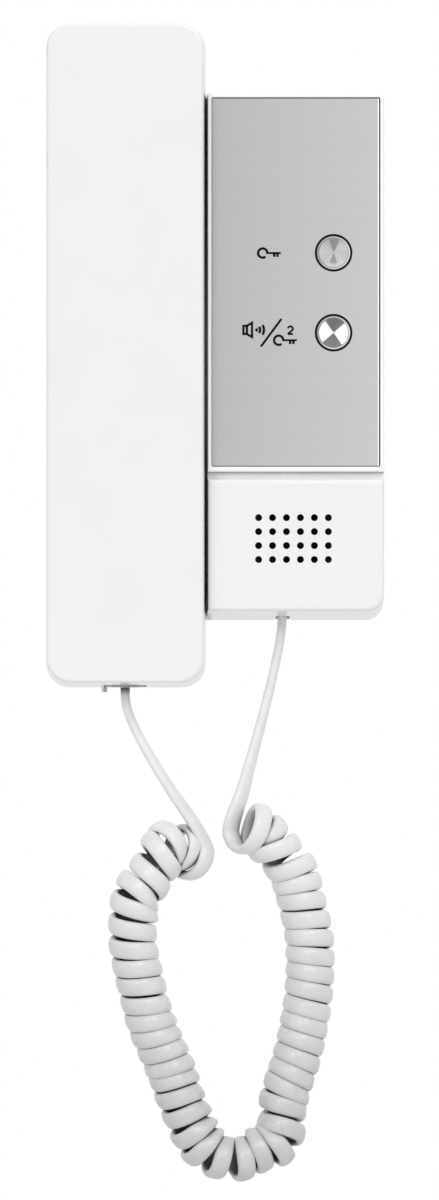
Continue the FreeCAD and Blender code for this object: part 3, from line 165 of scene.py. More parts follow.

# Brushed metal panel: tones at the left and right of its top and foot, which make it lighter towards the
# right and the foot as a painted reflection, and the dark streaks over them
panel_anisotropy = 0.4
panel_grain_stretch = (160, 160, 11000)
panel_streak_stretch = (10, 10, 1500)
panel_top_steel_sheen_tones = (164, 178)
panel_foot_steel_sheen_tones = (178, 192)
panel_streak_tone = 120
panel_grain_share = 0.15
panel_streak_share = 0.04
panel_roughness = (0.30, 0.44)
panel_grain_strength = 0.10
panel_grain_depth = 0.00002

# The panel's bevel at its right, bright with a painted highlight, the dark lines of painted shade at its
# edges and the painted shade at the edges of its button holes
panel_bevel = 0.00062
panel_bevel_highlight_tone = 248
panel_bevel_core = 0.9
panel_line_core = 0.8
panel_left_line = 0.00012
panel_left_tone = 110
panel_right_line = 0.00035
panel_right_tone = 40
panel_top_line = 0.00038
panel_top_tone = 100
panel_foot_line = 0.00020
panel_foot_tone = 80
panel_hole_gap = 0.0006
panel_hole_blur = 0.00003
panel_hole_shade_tone = 8

# Spun button caps: fine rings on the face, a thin line round it, a bevel with a painted reflection and a
# wall darkened with painted shade.
# The line and the wall are measured inwards, from the face's rim and from the cap's
cap_anisotropy = 0.6
cap_face_radius = 0.0043
cap_face_blur = 0.00008
cap_ring_pitch = 0.00016
cap_ring_tone = 90
cap_ring_share = 0.06
cap_ring_strength = 0.08
cap_ring_depth = 0.00001
cap_line_tone = 120
cap_line_start = 0.00018
cap_line_full = 0.00010
cap_bevel_reflection_tones = (190, 255)
cap_wall_shade_tone = 12
cap_wall_start = 0.00012
cap_wall_full = 0.00004
cap_polish = (0.22, 0.34)
cap_wall_roughness = 0.9

# Painted reflections of the caps: tones of each cap's lit face and of the dim wedges above and below its
# middle, the wedges' tilt in degrees, the cosines between which they fade in, and how far down and up they
# reach, with the blur of that end
cap_wedge_blur = 0.0003
upper_cap_light = {"lit": 180, "dim": 142, "tilt": 3.0, "fade": (0.62, 0.82), "reach": (0.0031, 0.0041)}
lower_cap_light = {"lit": 240, "dim": 115, "tilt": 7.0, "fade": (-0.05, 0.25), "reach": (0.0045, 0.0045)}

# Cord: a flat one, whose section is an ellipse where its squareness is 2 and nears a rectangle above it
cord_width = 0.0052
cord_thickness = 0.0027
cord_squareness = 2.4
cord_section_points = 16
cord_spline_steps = 3

# The cord's looks: unshaded at the top and darker with painted shade from the one level to the other, and
# darkened with painted shade between its turns
cord_specular = 0.45
cord_mark_scale = 220
cord_unshaded_tones = (239, 234)
cord_foot_shade_tones = (204, 196)
cord_shade_start_level = -0.115
cord_shade_end_level = -0.215
cord_shade_full = 0.12
cord_shade_none = 0.62
cord_shade_tone = 80
cord_roughness = (0.22, 0.32)
cord_skin_scale = 1800
cord_skin_strength = 0.1
cord_skin_depth = 0.00003

# Curly part: points to a turn, where the winding starts in the first turn and ends in the last one
coil_steps = 18
coil_first_turn = 0.88
coil_tail_turns = 0.5

# The helix's radius, and how it grows over the turns at the two ends and shrinks about the loop's foot
coil_radius = 0.0058
coil_end_growth = 0.0005
coil_end_turns = 6.0
coil_foot_shrink = 0.0007
coil_foot_turn = 23.0
coil_foot_turns = 2.5

# How much crowded turns lean, how many loose ones at each end don't, and the lowest turn, where the lean
# changes side
coil_lean_rate = 2.0
coil_loose_turns = 3.5
coil_lowest_turn = 22.0

# Middle of each turn of the curly part, with one more place before the first and after the last
coil_turns = [
    (-0.0059, -0.0148, -0.1442),
    (-0.0091, -0.0182, -0.1434),
    (-0.0124, -0.0193, -0.1408),
    (-0.0166, -0.022, -0.1401),
    (-0.0177, -0.0228, -0.1429),
    (-0.0211, -0.023, -0.1494),
    (-0.0247, -0.023, -0.1535),
    (-0.0257, -0.0227, -0.1581),
    (-0.026, -0.0223, -0.1642),
    (-0.0257, -0.0219, -0.1699),
    (-0.0247, -0.0214, -0.1751),
    (-0.0235, -0.0209, -0.1802),
    (-0.0222, -0.0203, -0.1857),
    (-0.021, -0.0197, -0.1903),
    (-0.0194, -0.0191, -0.1946),
    (-0.0175, -0.0184, -0.1989),
    (-0.0156, -0.0177, -0.2031),
    (-0.0142, -0.017, -0.2072),
    (-0.0125, -0.0163, -0.2123),
    (-0.0105, -0.0156, -0.2175),
    (-0.0083, -0.0149, -0.2228),
    (-0.0056, -0.0142, -0.2270),
    (-0.0004, -0.0135, -0.2302),
    (0.0064, -0.0128, -0.2305),
    (0.0107, -0.0123, -0.2278),
    (0.0158, -0.0119, -0.2260),
    (0.0170, -0.0117, -0.2211),
    (0.0171, -0.0115, -0.2152),
    (0.0183, -0.0115, -0.2102),
    (0.0199, -0.0116, -0.2056),
    (0.0214, -0.0117, -0.2011),
    (0.0225, -0.0119, -0.1962),
    (0.0234, -0.0121, -0.1914),
    (0.0242, -0.0124, -0.1868),
    (0.0248, -0.0127, -0.1816),
    (0.0251, -0.013, -0.1766),
    (0.0251, -0.0133, -0.1717),
    (0.0248, -0.0136, -0.1664),
    (0.0238, -0.0139, -0.1614),
    (0.0225, -0.0142, -0.1559),
    (0.0212, -0.0146, -0.1507),
    (0.0195, -0.0155, -0.1464),
    (0.0144, -0.0188, -0.1404),
    (0.0117, -0.0172, -0.1374),
    (0.0084, -0.0208, -0.1352),
    (0.0012, -0.0225, -0.1372),
]

# Way that the loose turns at the two ends face, where it isn't the way of the line through their middles
coil_facing = {
    0: (-0.70, -0.68, 0.15),
    1: (-0.70, -0.68, 0.15),
    2: (-0.66, -0.72, 0.05),
    3: (-0.51, -0.65, -0.56),
    4: (-0.69, -0.06, -0.72),
    5: (-0.50, -0.16, -0.85),
    6: (-0.50, -0.18, -0.85),
    17: (0.407, 0.06, -0.911),
    18: (0.469, 0.06, -0.881),
    19: (0.559, 0.06, -0.827),
    20: (0.713, 0.06, -0.699),
    21: (0.854, 0.06, -0.517),
    22: (0.997, 0.06, -0.040),
    23: (0.945, 0.05, 0.323),
    24: (0.850, 0.04, 0.525),
    25: (0.687, 0.02, 0.726),
    -5: (-0.50, -0.12, 0.86),
    -4: (-0.42, -0.25, 0.87),
    -3: (-0.74, -0.40, 0.54),
    -2: (-0.90, -0.40, 0.17),
    -1: (-0.90, -0.40, 0.05),
}

# Leads from the plugs' faces to the curly part
handset_lead = [
    (-0.0281, -0.02315, -0.0948),
    (-0.0281, -0.02315, -0.099),
    (-0.0269, -0.0232, -0.103),
    (-0.0244, -0.0234, -0.1085),
    (-0.0213, -0.0236, -0.114),
    (-0.018, -0.0238, -0.1195),
    (-0.0145, -0.0238, -0.1249),
    (-0.0109, -0.0234, -0.13),
    (-0.0074, -0.0226, -0.1352),
]
base_lead = [
    (0.0172, -0.01115, -0.0711),
    (0.0172, -0.01115, -0.0766),
    (0.0156, -0.0112, -0.0861),
    (0.013, -0.0114, -0.0973),
    (0.0102, -0.0119, -0.1082),
    (0.0073, -0.013, -0.1186),
    (0.0054, -0.0145, -0.126),
    (0.0033, -0.0168, -0.1312),
]
handset_plug_way = (1, 0, 0)
base_plug_way = (-1, 0, 0)
handset_lead_turning = 1.6
base_lead_turning = 2.0

# Signs on the panel, in millimetres on its face
mm_in_metre = 1000
panel_front_out = 30.8
sign_height = 0.03
sign_corner_limit = 0.4
key_places = [(11.39, 29.73), (15.96, 4.74)]
key_bow = 1.32
key_bow_open = 52.0
key_bow_steps = 36
key_line = 0.72
key_shaft_line = 0.58
key_shaft_end = 5.2
key_teeth = [3.3, 4.22]
key_tooth_end = 1.1
slash_ends = [(16.75, 10.85), (10.85, 2.90)]
slash_line = 0.66
speaker_left, speaker_middle, speaker_right = 5.85, 6.85, 8.32
speaker_level = 7.70
speaker_half_low = 1.17
speaker_half_high = 2.05
speaker_line = 0.66
sound_from = (8.67, 7.70)
sound_radii = [0.98, 1.95, 3.05]
sound_half_angle = 28.0
sound_steps = 10
sound_line = 0.74
two_place = (19.31, 7.62)
two_bow = 0.70
two_bow_start, two_bow_end = 170, -30
two_bow_steps = 16
two_half_height = 1.10
two_half_width = 0.76
two_line = 0.58

to_viewer = Vector((0, -1, 0))


# Curves and meshes

def smooth_through(points, steps):
    """Points on a smooth line through the given ones."""
    knots = [Vector(point) for point in points]
    last = len(knots) - 1
    line = []
    for i in range(last):
        start, end = knots[i], knots[i + 1]
        before, after = knots[max(i - 1, 0)], knots[min(i + 2, last)]
        # Handles a sixth as long as the way between a knot's neighbours make the line smooth there
        leaving = start + (end - before) / 6
        arriving = end - (after - start) / 6
        line += interpolate_bezier(start, leaving, arriving, end, steps)[:-1]
    return line + [knots[last]]


def coil_ways():
    """The way that the winding faces at each step of its middle: along its line, or as coil_facing says."""
    knots = [Vector(turn) for turn in coil_turns]
    ways = []
    for before, after in zip(knots[:1] + knots, knots[1:] + knots[-1:]):
        ways.append((after - before).normalized())
    for turn, way in coil_facing.items():
        ways[turn] = Vector(way).normalized()
    return [way.normalized() for way in smooth_through(ways, coil_steps + 1)]


def coil_radius_at(step, last):
    """The helix's radius at a step of its middle."""
    from_end = min(step, last - step) / coil_steps
    from_foot = abs(step / coil_steps - coil_foot_turn)
    radius = coil_radius + coil_end_growth * max(1 - from_end / coil_end_turns, 0)
    return radius - coil_foot_shrink * max(1 - from_foot / coil_foot_turns, 0)


def coil_lean(points, ways, i, first):
    """How far the cord leans at a point of the winding, in radians.

    Turns that lie closer than the cord is wide lean over the turn below them, like shingles."""
    low, high = max(i - coil_steps, 0), min(i + coil_steps, len(points) - 1)
    pitch = (points[high] - points[low]).dot(ways[i]) * coil_steps / (high - low)
    from_end = min(i, len(points) - 1 - i) / coil_steps
    lean = max(1 - pitch / cord_width, 0) * coil_lean_rate
    lean *= min(max((i + first) / coil_steps - coil_lowest_turn, -1), 1)
    return lean * min(max(from_end - coil_loose_turns, 0), 1)


def coil_pairs():
    """The curly part's helix, a turn from knot to knot, as pairs of a point and the way across the cord."""
    middle = smooth_through(coil_turns, coil_steps + 1)
    facing = coil_ways()
    first = round(coil_first_turn * coil_steps)
    last = len(middle) - 1
    tail = round((1 - coil_tail_turns) * coil_steps)
    points, spokes, ways = [], [], []
    for i in range(first, last - tail + 1):
        way = facing[i]
        front = (to_viewer - way * way.dot(to_viewer)).normalized()
        turn = 2 * math.pi * i / coil_steps
        spokes.append(front * math.cos(turn) + front.cross(way) * math.sin(turn))
        points.append(middle[i] + spokes[-1] * coil_radius_at(i, last))
        ways.append(way)
    pairs = []
    for i, point in enumerate(points):
        lean = coil_lean(points, ways, i, first)
        pairs.append((point, spokes[i] * math.cos(lean) + ways[i] * math.sin(lean)))
    return pairs


def lead_pairs(points, plug_way, coil_way, turning):
    """A lead's points from its plug on, each with the way across the flat cord.

    That way turns from the plug's to the coil's, the later the higher turning is."""
    pairs = []
    for i, point in enumerate(points):
        share = (i / len(points)) ** turning
        pairs.append((Vector(point), Vector(plug_way).lerp(coil_way, share).normalized()))
    return pairs


def spline_points(points):
    """Points read from a smooth curve whose control points are the given ones."""
    data = bpy.data.curves.new("route", "CURVE")
    data.dimensions = "3D"
    data.resolution_u = cord_spline_steps
    spline = data.splines.new("NURBS")
    spline.points.add(len(points) - 1)
    for target, point in zip(spline.points, points):
        target.co = (*point, 1)
    spline.order_u = 3
    spline.use_endpoint_u = True
    obj = bpy.data.objects.new("route", data)
    bpy.context.collection.objects.link(obj)
    bpy.context.view_layer.update()
    mesh = bpy.data.meshes.new_from_object(obj)
    read = [vertex.co.copy() for vertex in mesh.vertices]
    bpy.data.meshes.remove(mesh)
    bpy.data.objects.remove(obj)
    bpy.data.curves.remove(data)
    return read


def cord_section():
    """Points (along, across) round the flat cord's rounded section, as shares of its half sizes."""
    section = []
    power = 2 / cord_squareness
    for i in range(cord_section_points):
        angle = 2 * math.pi * i / cord_section_points
        along, across = math.cos(angle), math.sin(angle)
        to_edge = math.copysign(abs(along) ** power, along)
        to_flat = math.copysign(abs(across) ** power, across)
        section.append((to_edge, to_flat))
    return section


def mesh_object(name, bm, material):
    """A new object in the scene with this mesh, its faces turned outwards, and this material."""
    bmesh.ops.recalc_face_normals(bm, faces=bm.faces)
    data = bpy.data.meshes.new(name)
    bm.to_mesh(data)
    bm.free()
    data.materials.append(material)
    obj = bpy.data.objects.new(name, data)
    bpy.context.collection.objects.link(obj)
    return obj


def flat_cord(path, outer, material):
    """The flat cord along a path; outer is a second line of points, on the side that its flat faces."""
    section = cord_section()
    bm = bmesh.new()
    rings = []
    last = len(path) - 1
    for i, point in enumerate(path):
        way = (path[min(i + 1, last)] - path[max(i - 1, 0)]).normalized()
        across = outer[i] - point
        across = (across - way * across.dot(way)).normalized()
        along = way.cross(across)
        ring = []
        for to_edge, to_flat in section:
            edge = along * (to_edge * cord_width / 2)
            flat = across * (to_flat * cord_thickness / 2)
            ring.append(bm.verts.new(point + edge + flat))
        rings.append(ring)
    count = len(section)
    for low, high in zip(rings, rings[1:]):
        for i in range(count):
            following = (i + 1) % count
            bm.faces.new((low[i], low[following], high[following], high[i]))
    bm.faces.new(rings[0])
    bm.faces.new(list(reversed(rings[-1])))
    for face in bm.faces:
        face.smooth = True
    return mesh_object("flat_curly_cord", bm, material)


def stroke_normal(point, before, after, width):
    """The way from a line's middle to its side at a point, kept short at sharp corners."""
    into = (point - before).normalized() if point != before else (after - point).normalized()
    out = (after - point).normalized() if after != point else into
    mean = (into + out).normalized()
    return Vector((-mean.y, mean.x)) * (width / 2 / max(mean.dot(out), sign_corner_limit))


def stroke(bm, points, width, closed=False):
    """A raised line of ink on the panel's face, through points (right, up) in millimetres."""
    count = len(points)
    flat = [Vector((x, z)) for x, z in points]
    rows = []
    for i, point in enumerate(flat):
        before = flat[i - 1] if i or closed else point
        after = flat[(i + 1) % count] if i < count - 1 or closed else point
        normal = stroke_normal(point, before, after, width)
        row = []
        for side in (point + normal, point - normal):
            for front in (panel_front_out, panel_front_out + sign_height):
                corner = (side.x / mm_in_metre, -front / mm_in_metre, side.y / mm_in_metre)
                row.append(bm.verts.new(corner))
        rows.append(row)
    # A row's corners are the back and the front one of its first side, then those of its second
    pairs = list(zip(rows, rows[1:]))
    if closed:
        pairs.append((rows[-1], rows[0]))
    for a, b in pairs:
        for i, j in ((0, 1), (1, 3), (3, 2), (2, 0)):
            bm.faces.new((a[i], a[j], b[j], b[i]))
    if not closed:
        bm.faces.new([rows[0][i] for i in (0, 1, 3, 2)])
        bm.faces.new([rows[-1][i] for i in (0, 2, 3, 1)])


def arc(middle, radius, start, end, steps):
    """Points on an arc, by angles in degrees."""
    points = []
    for i in range(steps + 1):
        angle = math.radians(start + (end - start) * i / steps)
        points.append((middle[0] + radius * math.cos(angle), middle[1] + radius * math.sin(angle)))
    return points


def key_sign(bm, x, z):
    """A plain key: an open ring, a shaft and two teeth."""
    stroke(bm, arc((x, z), key_bow, 0, 360 - key_bow_open, key_bow_steps), key_line)
    stroke(bm, [(x + key_bow - key_line / 2, z), (x + key_shaft_end, z)], key_shaft_line)
    for tooth in key_teeth:
        stroke(bm, [(x + tooth, z), (x + tooth, z - key_tooth_end)], key_line)


def sound_sign(bm):
    """A plain loudspeaker with three sound waves and a slash."""
    low, high = speaker_half_low, speaker_half_high
    box = [(speaker_left, speaker_level + low), (speaker_middle, speaker_level + low),
           (speaker_middle, speaker_level - low), (speaker_left, speaker_level - low)]
    horn = [(speaker_middle, speaker_level + low), (speaker_right, speaker_level + high),
            (speaker_right, speaker_level - high), (speaker_middle, speaker_level - low)]
    stroke(bm, box, speaker_line, closed=True)
    stroke(bm, horn, speaker_line, closed=True)
    for radius in sound_radii:
        stroke(bm, arc(sound_from, radius, -sound_half_angle, sound_half_angle, sound_steps), sound_line)
    stroke(bm, slash_ends, slash_line)


def two_sign(bm):
    """The figure 2."""
    x, z = two_place
    foot = z - two_half_height
    bow = arc((x, z + two_half_height - two_bow), two_bow, two_bow_start, two_bow_end, two_bow_steps)
    stroke(bm, bow + [(x - two_half_width, foot)], two_line)
    stroke(bm, [(x - two_half_width, foot), (x + two_half_width, foot)], two_line)


# Materials

def linear(tone):
    """A display tone as the light it stands for, by the usual curve of displays."""
    share = tone / 255
    if share <= 0.04045:
        return share / 12.92
    return ((share + 0.055) / 1.055) ** 2.4


def shown(tone):
    """A grey tone, or three tones of red, green and blue, as a shader's colour."""
    tones = tone if isinstance(tone, tuple) else (tone, tone, tone)
    return (*[linear(each) for each in tones], 1)


# Where a Mix node has its two colours among its inputs, and the mixed one among its outputs
mix_colours_from = 6
mix_colour_out = 2


class Shader:
    """A material with its surface shader and small helpers to link nodes."""

    def __init__(self, name, **sockets):
        self.material = bpy.data.materials.new(name)
        self.material.use_nodes = True
        self.tree = self.material.node_tree
        self.surface = self.tree.nodes["Principled BSDF"]
        for label, value in sockets.items():
            self.surface.inputs[label.replace("_", " ")].default_value = value
        self.place = self.node("ShaderNodeTexCoord").outputs["Object"]

    def node(self, kind, **values):
        made = self.tree.nodes.new(kind)
        for label, value in values.items():
            setattr(made, label, value)
        return made

    def link(self, output, target):
        self.tree.links.new(output, target)

    def axis(self, letter):
        """The place on the object along one axis."""
        parts = self.node("ShaderNodeSeparateXYZ")
        self.link(self.place, parts.inputs[0])
        return parts.outputs[letter]

    def stretched(self, scale):
        """The place on the object, stretched."""
        mapping = self.node("ShaderNodeMapping")
        self.link(self.place, mapping.inputs["Vector"])
        mapping.inputs["Scale"].default_value = scale
        return mapping.outputs["Vector"]

    def noise(self, scale=1, detail=3.0, stretch=(1, 1, 1)):
        """Noise from 0 to 1 over the object."""
        made = self.node("ShaderNodeTexNoise")
        self.link(self.stretched(stretch), made.inputs["Vector"])
        made.inputs["Scale"].default_value = scale
        made.inputs["Detail"].default_value = detail
        return made.outputs["Fac"]

    def cells(self, scale):
        """Distance from the middle of the nearest of many small cells."""
        made = self.node("ShaderNodeTexVoronoi")
        self.link(self.place, made.inputs["Vector"])
        made.inputs["Scale"].default_value = scale
        return made.outputs["Distance"]

    def math(self, operation, first, second=0.0):
        made = self.node("ShaderNodeMath", operation=operation)
        for target, value in zip(made.inputs, (first, second)):
            if isinstance(value, (int, float)):
                target.default_value = value
            else:
                self.link(value, target)
        return made.outputs[0]

    def radius(self, right, up):
        """Distance from an axis, from the distances to its right and above it."""
        squares = [self.math("MULTIPLY", length, length) for length in (right, up)]
        return self.math("SQRT", self.math("ADD", *squares))

    def ramp(self, value, from_low, from_high, to_low, to_high, smooth=False):
        """A value carried from one range to another."""
        made = self.node("ShaderNodeMapRange")
        made.interpolation_type = "SMOOTHSTEP" if smooth else "LINEAR"
        self.link(value, made.inputs[0])
        for i, limit in enumerate((from_low, from_high, to_low, to_high), start=1):
            made.inputs[i].default_value = limit
        return made.outputs[0]

    def spread(self, noise, low, high):
        """Noise carried to another range."""
        return self.ramp(noise, noise_low, noise_high, low, high)

    def uneven(self, noise, roughness, share):
        """Roughness that varies by a share of itself."""
        self.roughness(self.spread(noise, roughness * (1 - share), roughness * (1 + share)))

    def mix(self, share, first, second):
        """Two tones or colours mixed by a share."""
        made = self.node("ShaderNodeMix", data_type="RGBA")
        self.link(share, made.inputs[0])
        for target, value in zip(made.inputs[mix_colours_from:], (first, second)):
            if isinstance(value, (int, float, tuple)):
                target.default_value = shown(value)
            else:
                self.link(value, target)
        return made.outputs[mix_colour_out]

    def clouded(self, noise, tones):
        """A light and a dark tone mixed in clouds."""
        return self.mix(self.ramp(noise, cloud_low, cloud_high, 0, 1), *tones)

    def edged(self, body, inside, width, core, tone):
        """A colour with an edge of another tone, full over its core and gone at its width."""
        return self.mix(self.ramp(inside, width * core, width, 1.0, 0.0), body, tone)

    def colour(self, output):
        self.link(output, self.surface.inputs["Base Color"])

    def roughness(self, output):
        self.link(output, self.surface.inputs["Roughness"])

    def shaded(self, output, full, none, dark):
        """The colour, darkened with painted shade where surfaces stand close together."""
        near = self.node("ShaderNodeAmbientOcclusion", samples=shade_samples)
        near.inputs["Distance"].default_value = shade_distance
        share = self.ramp(near.outputs["AO"], full, none, 0.0, 1.0, smooth=True)
        return self.mix(share, dark, output)

    def bump(self, height, strength, distance):
        made = self.node("ShaderNodeBump")
        made.inputs["Strength"].default_value = strength
        made.inputs["Distance"].default_value = distance
        self.link(height, made.inputs["Height"])
        self.link(made.outputs["Normal"], self.surface.inputs["Normal"])


def moulded(name, tones, roughness, grain=mould_grain, **sockets):
    """Moulded plastic: a faint cloud of tone, painted shade in narrow places, slightly uneven gloss and a
    fine skin.
    """
    shader = Shader(name, **sockets)
    tone = shader.clouded(shader.noise(mould_cloud_scale, detail=2), tones)
    shader.colour(shader.shaded(tone, shade_full, shade_none, shade_tone))
    shader.uneven(shader.noise(mould_cloud_scale, detail=1), roughness, mould_gloss_spread)
    shader.bump(shader.noise(mould_grain_scale, detail=2), grain, mould_grain_depth)
    return shader.material


def plain_metal(name, tones, roughness):
    """Turned or plated metal with fine marks."""
    shader = Shader(name, Metallic=1.0)
    marks = shader.noise(metal_mark_scale, detail=4)
    shader.colour(shader.mix(marks, *tones))
    shader.uneven(marks, roughness, metal_gloss_spread)
    shader.bump(shader.noise(metal_skin_scale), metal_skin_strength, metal_skin_depth)
    return shader.material


def brushed_tone(shader, x, z, grain):
    """Steel's tone under its brush marks, with a painted reflection that makes it a little lighter towards
    the right and the foot.
    """
    streaks = shader.noise(detail=2, stretch=panel_streak_stretch)
    across = shader.ramp(x, panel_low[0], panel_high[0], 0.0, 1.0)
    down = shader.ramp(z, panel_high[2], panel_low[2], 0.0, 1.0)
    # Painted reflection: lighter towards the right and the foot
    top = shader.mix(across, *panel_top_steel_sheen_tones)
    foot = shader.mix(across, *panel_foot_steel_sheen_tones)
    fine = shader.spread(grain, 0.0, panel_grain_share)
    broad = shader.spread(streaks, 0.0, panel_streak_share)
    return shader.mix(shader.math("ADD", fine, broad), shader.mix(down, top, foot), panel_streak_tone)


def brushed_panel():
    """Satin steel brushed from side to side, with a painted highlight on its bevel, and painted shade along
    its edges and round its button holes.
    """
    shader = Shader("brushed_panel", Metallic=1.0, Anisotropic=panel_anisotropy)
    grain = shader.noise(detail=5, stretch=panel_grain_stretch)
    x, z = shader.axis("X"), shader.axis("Z")
    from_left = shader.math("SUBTRACT", x, panel_low[0])
    from_right = shader.math("SUBTRACT", panel_high[0], x)
    from_top = shader.math("SUBTRACT", panel_high[2], z)
    from_foot = shader.math("SUBTRACT", z, panel_low[2])
    body = brushed_tone(shader, x, z, grain)
    # Painted highlight on the bevel at the right
    body = shader.edged(body, from_right, panel_bevel, panel_bevel_core, panel_bevel_highlight_tone)
    # Painted shade: dark lines along the panel's edges
    for inside, width, tone in ((from_left, panel_left_line, panel_left_tone),
                                (from_foot, panel_foot_line, panel_foot_tone),
                                (from_top, panel_top_line, panel_top_tone),
                                (from_right, panel_right_line, panel_right_tone)):
        body = shader.edged(body, inside, width, panel_line_core, tone)
    # Painted shade: dark rims round the button holes
    right = shader.math("SUBTRACT", x, button_x)
    for middle in (upper_button_z, lower_button_z):
        radius = shader.radius(right, shader.math("SUBTRACT", z, middle))
        past_rim = shader.math("SUBTRACT", radius, hole_radius)
        in_hole = shader.ramp(past_rim, -panel_hole_blur, panel_hole_blur, 1.0, 0.0)
        body = shader.mix(in_hole, body, panel_hole_shade_tone)
    shader.colour(body)
    shader.roughness(shader.spread(grain, *panel_roughness))
    shader.bump(grain, panel_grain_strength, panel_grain_depth)
    return shader.material


def cap_wedges(shader, x, z, radius, tilt, fade, reach):
    """The share of a cap's dim wedges of painted reflection at a place, from its distances to the cap's
    middle.
    """
    turned = shader.math("SUBTRACT", shader.math("ARCTAN2", x, z), math.radians(tilt))
    two_wedges = shader.math("COSINE", shader.math("MULTIPLY", turned, 2.0))
    share = shader.ramp(two_wedges, *fade, 0, 1, smooth=True)
    end = shader.ramp(shader.math("GREATER_THAN", z, 0.0), 0, 1, *reach)
    past_end = shader.math("SUBTRACT", radius, end)
    inside = shader.ramp(past_end, -cap_wedge_blur, cap_wedge_blur, 1.0, 0.0, smooth=True)
    return shader.math("MULTIPLY", share, inside)


def spun_cap(name, middle_z, lit, dim, tilt, fade, reach):
    """Spun metal: fine rings with two dim wedges of painted reflection across them, a bevel with a painted
    reflection and a wall with painted shade.
    """
    shader = Shader(name, Anisotropic=cap_anisotropy)
    tangent = shader.node("ShaderNodeTangent", direction_type="RADIAL", axis="Y")
    shader.link(tangent.outputs[0], shader.surface.inputs["Tangent"])
    x = shader.math("SUBTRACT", shader.axis("X"), button_x)
    z = shader.math("SUBTRACT", shader.axis("Z"), middle_z)
    radius = shader.radius(x, z)
    rings = shader.math("SINE", shader.math("MULTIPLY", radius, 2 * math.pi / cap_ring_pitch))
    from_face_rim = shader.math("SUBTRACT", cap_face_radius, radius)
    from_cap_rim = shader.math("SUBTRACT", cap_wall_radius, radius)
    on_face = shader.ramp(from_face_rim, -cap_face_blur, 0.0, 0.0, 1.0)
    on_line = shader.ramp(from_face_rim, cap_line_full, cap_line_start, 1.0, 0.0)
    on_wall = shader.ramp(from_cap_rim, cap_wall_full, cap_wall_start, 1.0, 0.0)
    # Painted reflection: the lit face and its dim wedges
    face = shader.mix(cap_wedges(shader, x, z, radius, tilt, fade, reach), lit, dim)
    face = shader.mix(shader.ramp(rings, -1, 1, 0.0, cap_ring_share), face, cap_ring_tone)
    face = shader.mix(on_line, face, cap_line_tone)
    # Painted reflection on the bevel: light at the lower right, dim at the upper left
    to_lower_right = shader.math("SUBTRACT", x, z)
    bevel_reflection_share = shader.ramp(to_lower_right, -cap_wall_radius, cap_wall_radius, 0.0, 1.0, smooth=True)
    bevel = shader.mix(bevel_reflection_share, *cap_bevel_reflection_tones)
    # Painted shade: the cap's wall is dark
    shader.colour(shader.mix(on_wall, shader.mix(on_face, bevel, face), cap_wall_shade_tone))
    shader.link(on_face, shader.surface.inputs["Metallic"])
    polish = shader.ramp(rings, -1, 1, *cap_polish)
    shader.roughness(shader.math("MAXIMUM", polish, shader.math("MULTIPLY", on_wall, cap_wall_roughness)))
    shader.bump(rings, cap_ring_strength, cap_ring_depth)
    return shader.material


def circuit_board():
    """Green solder mask over copper tracks, with tinned pads."""
    shader = Shader("circuit_board", Roughness=board_roughness)
    tracks = shader.noise(detail=0, stretch=track_stretch)
    mask = shader.mix(shader.ramp(tracks, *track_band, 0, 1), *track_tones)
    shader.colour(shader.mix(shader.ramp(shader.cells(pad_scale), *pad_band, 1, 0), mask, pad_tone))
    shader.bump(tracks, track_strength, track_depth)
    return shader.material


def foam(name, tone):
    """Open foam, rubber or pressed paper: dark and rough with pores."""
    shader = Shader(name)
    pores = shader.cells(pore_scale)
    shader.colour(shader.mix(pores, tone, tone * pore_light))
    shader.roughness(shader.ramp(pores, 0, 1, *pore_roughness))
    shader.bump(pores, pore_strength, pore_depth)
    return shader.material


def clear_plastic():
    """The plugs' clear plastic, a little cloudy."""
    shader = Shader("clear_plastic", IOR=clear_ior)
    shader.surface.inputs["Transmission Weight"].default_value = clear_transmission
    cloud = shader.noise(clear_cloud_scale)
    shader.colour(shader.mix(cloud, *clear_tones))
    shader.roughness(shader.spread(cloud, *clear_roughness))
    return shader.material


def cord_sheath():
    """The cord's pale sheath: satin, with faint marks from the winding, darker at the loop's foot and
    between its turns with painted shade.
    """
    shader = Shader("cord_sheath", Specular_IOR_Level=cord_specular)
    marks = shader.noise(cord_mark_scale)
    unshaded = shader.clouded(marks, cord_unshaded_tones)
    foot_shaded = shader.clouded(marks, cord_foot_shade_tones)
    # Painted shade: darker towards the loop's foot
    down = shader.ramp(shader.axis("Z"), cord_shade_start_level, cord_shade_end_level, 0, 1)
    tone = shader.mix(down, unshaded, foot_shaded)
    # Painted shade between the cord's turns
    shader.colour(shader.shaded(tone, cord_shade_full, cord_shade_none, cord_shade_tone))
    shader.roughness(shader.spread(marks, *cord_roughness))
    shader.bump(shader.noise(cord_skin_scale), cord_skin_strength, cord_skin_depth)
    return shader.material


def dress(material, *names):
    """Gives CAD nodes this material."""
    for name in names:
        obj = nodes_of_frame[name]
        for slot in obj.material_slots:
            slot.link = "OBJECT"
            slot.material = material


# Places on the frame that the materials need, read from its boxes
cap_low, cap_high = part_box("upper_button_cap")
button_x = (cap_low[0] + cap_high[0]) / 2
upper_button_z = (cap_low[2] + cap_high[2]) / 2
cap_low, cap_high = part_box("lower_button_cap")
lower_button_z = (cap_low[2] + cap_high[2]) / 2
cap_wall_radius = (cap_high[0] - cap_low[0]) / 2
hole_radius = cap_wall_radius + panel_hole_gap
panel_low, panel_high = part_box("metal_fascia")

# What each piece is made of
# The frame's lighter white is painted light
dress(moulded("frame_white", frame_lit_tones, frame_roughness), "button_panel_frame")
dress(moulded("shell_white", shell_tones, shell_roughness),
      "front_housing", "handset_outer_shell", "handset_inner_shell")
dress(moulded("cover_white", cover_tones, cover_roughness, grain=cover_grain), "rear_cover")
dress(moulded("inner_white", inner_tones, inner_roughness), "hook_lever")
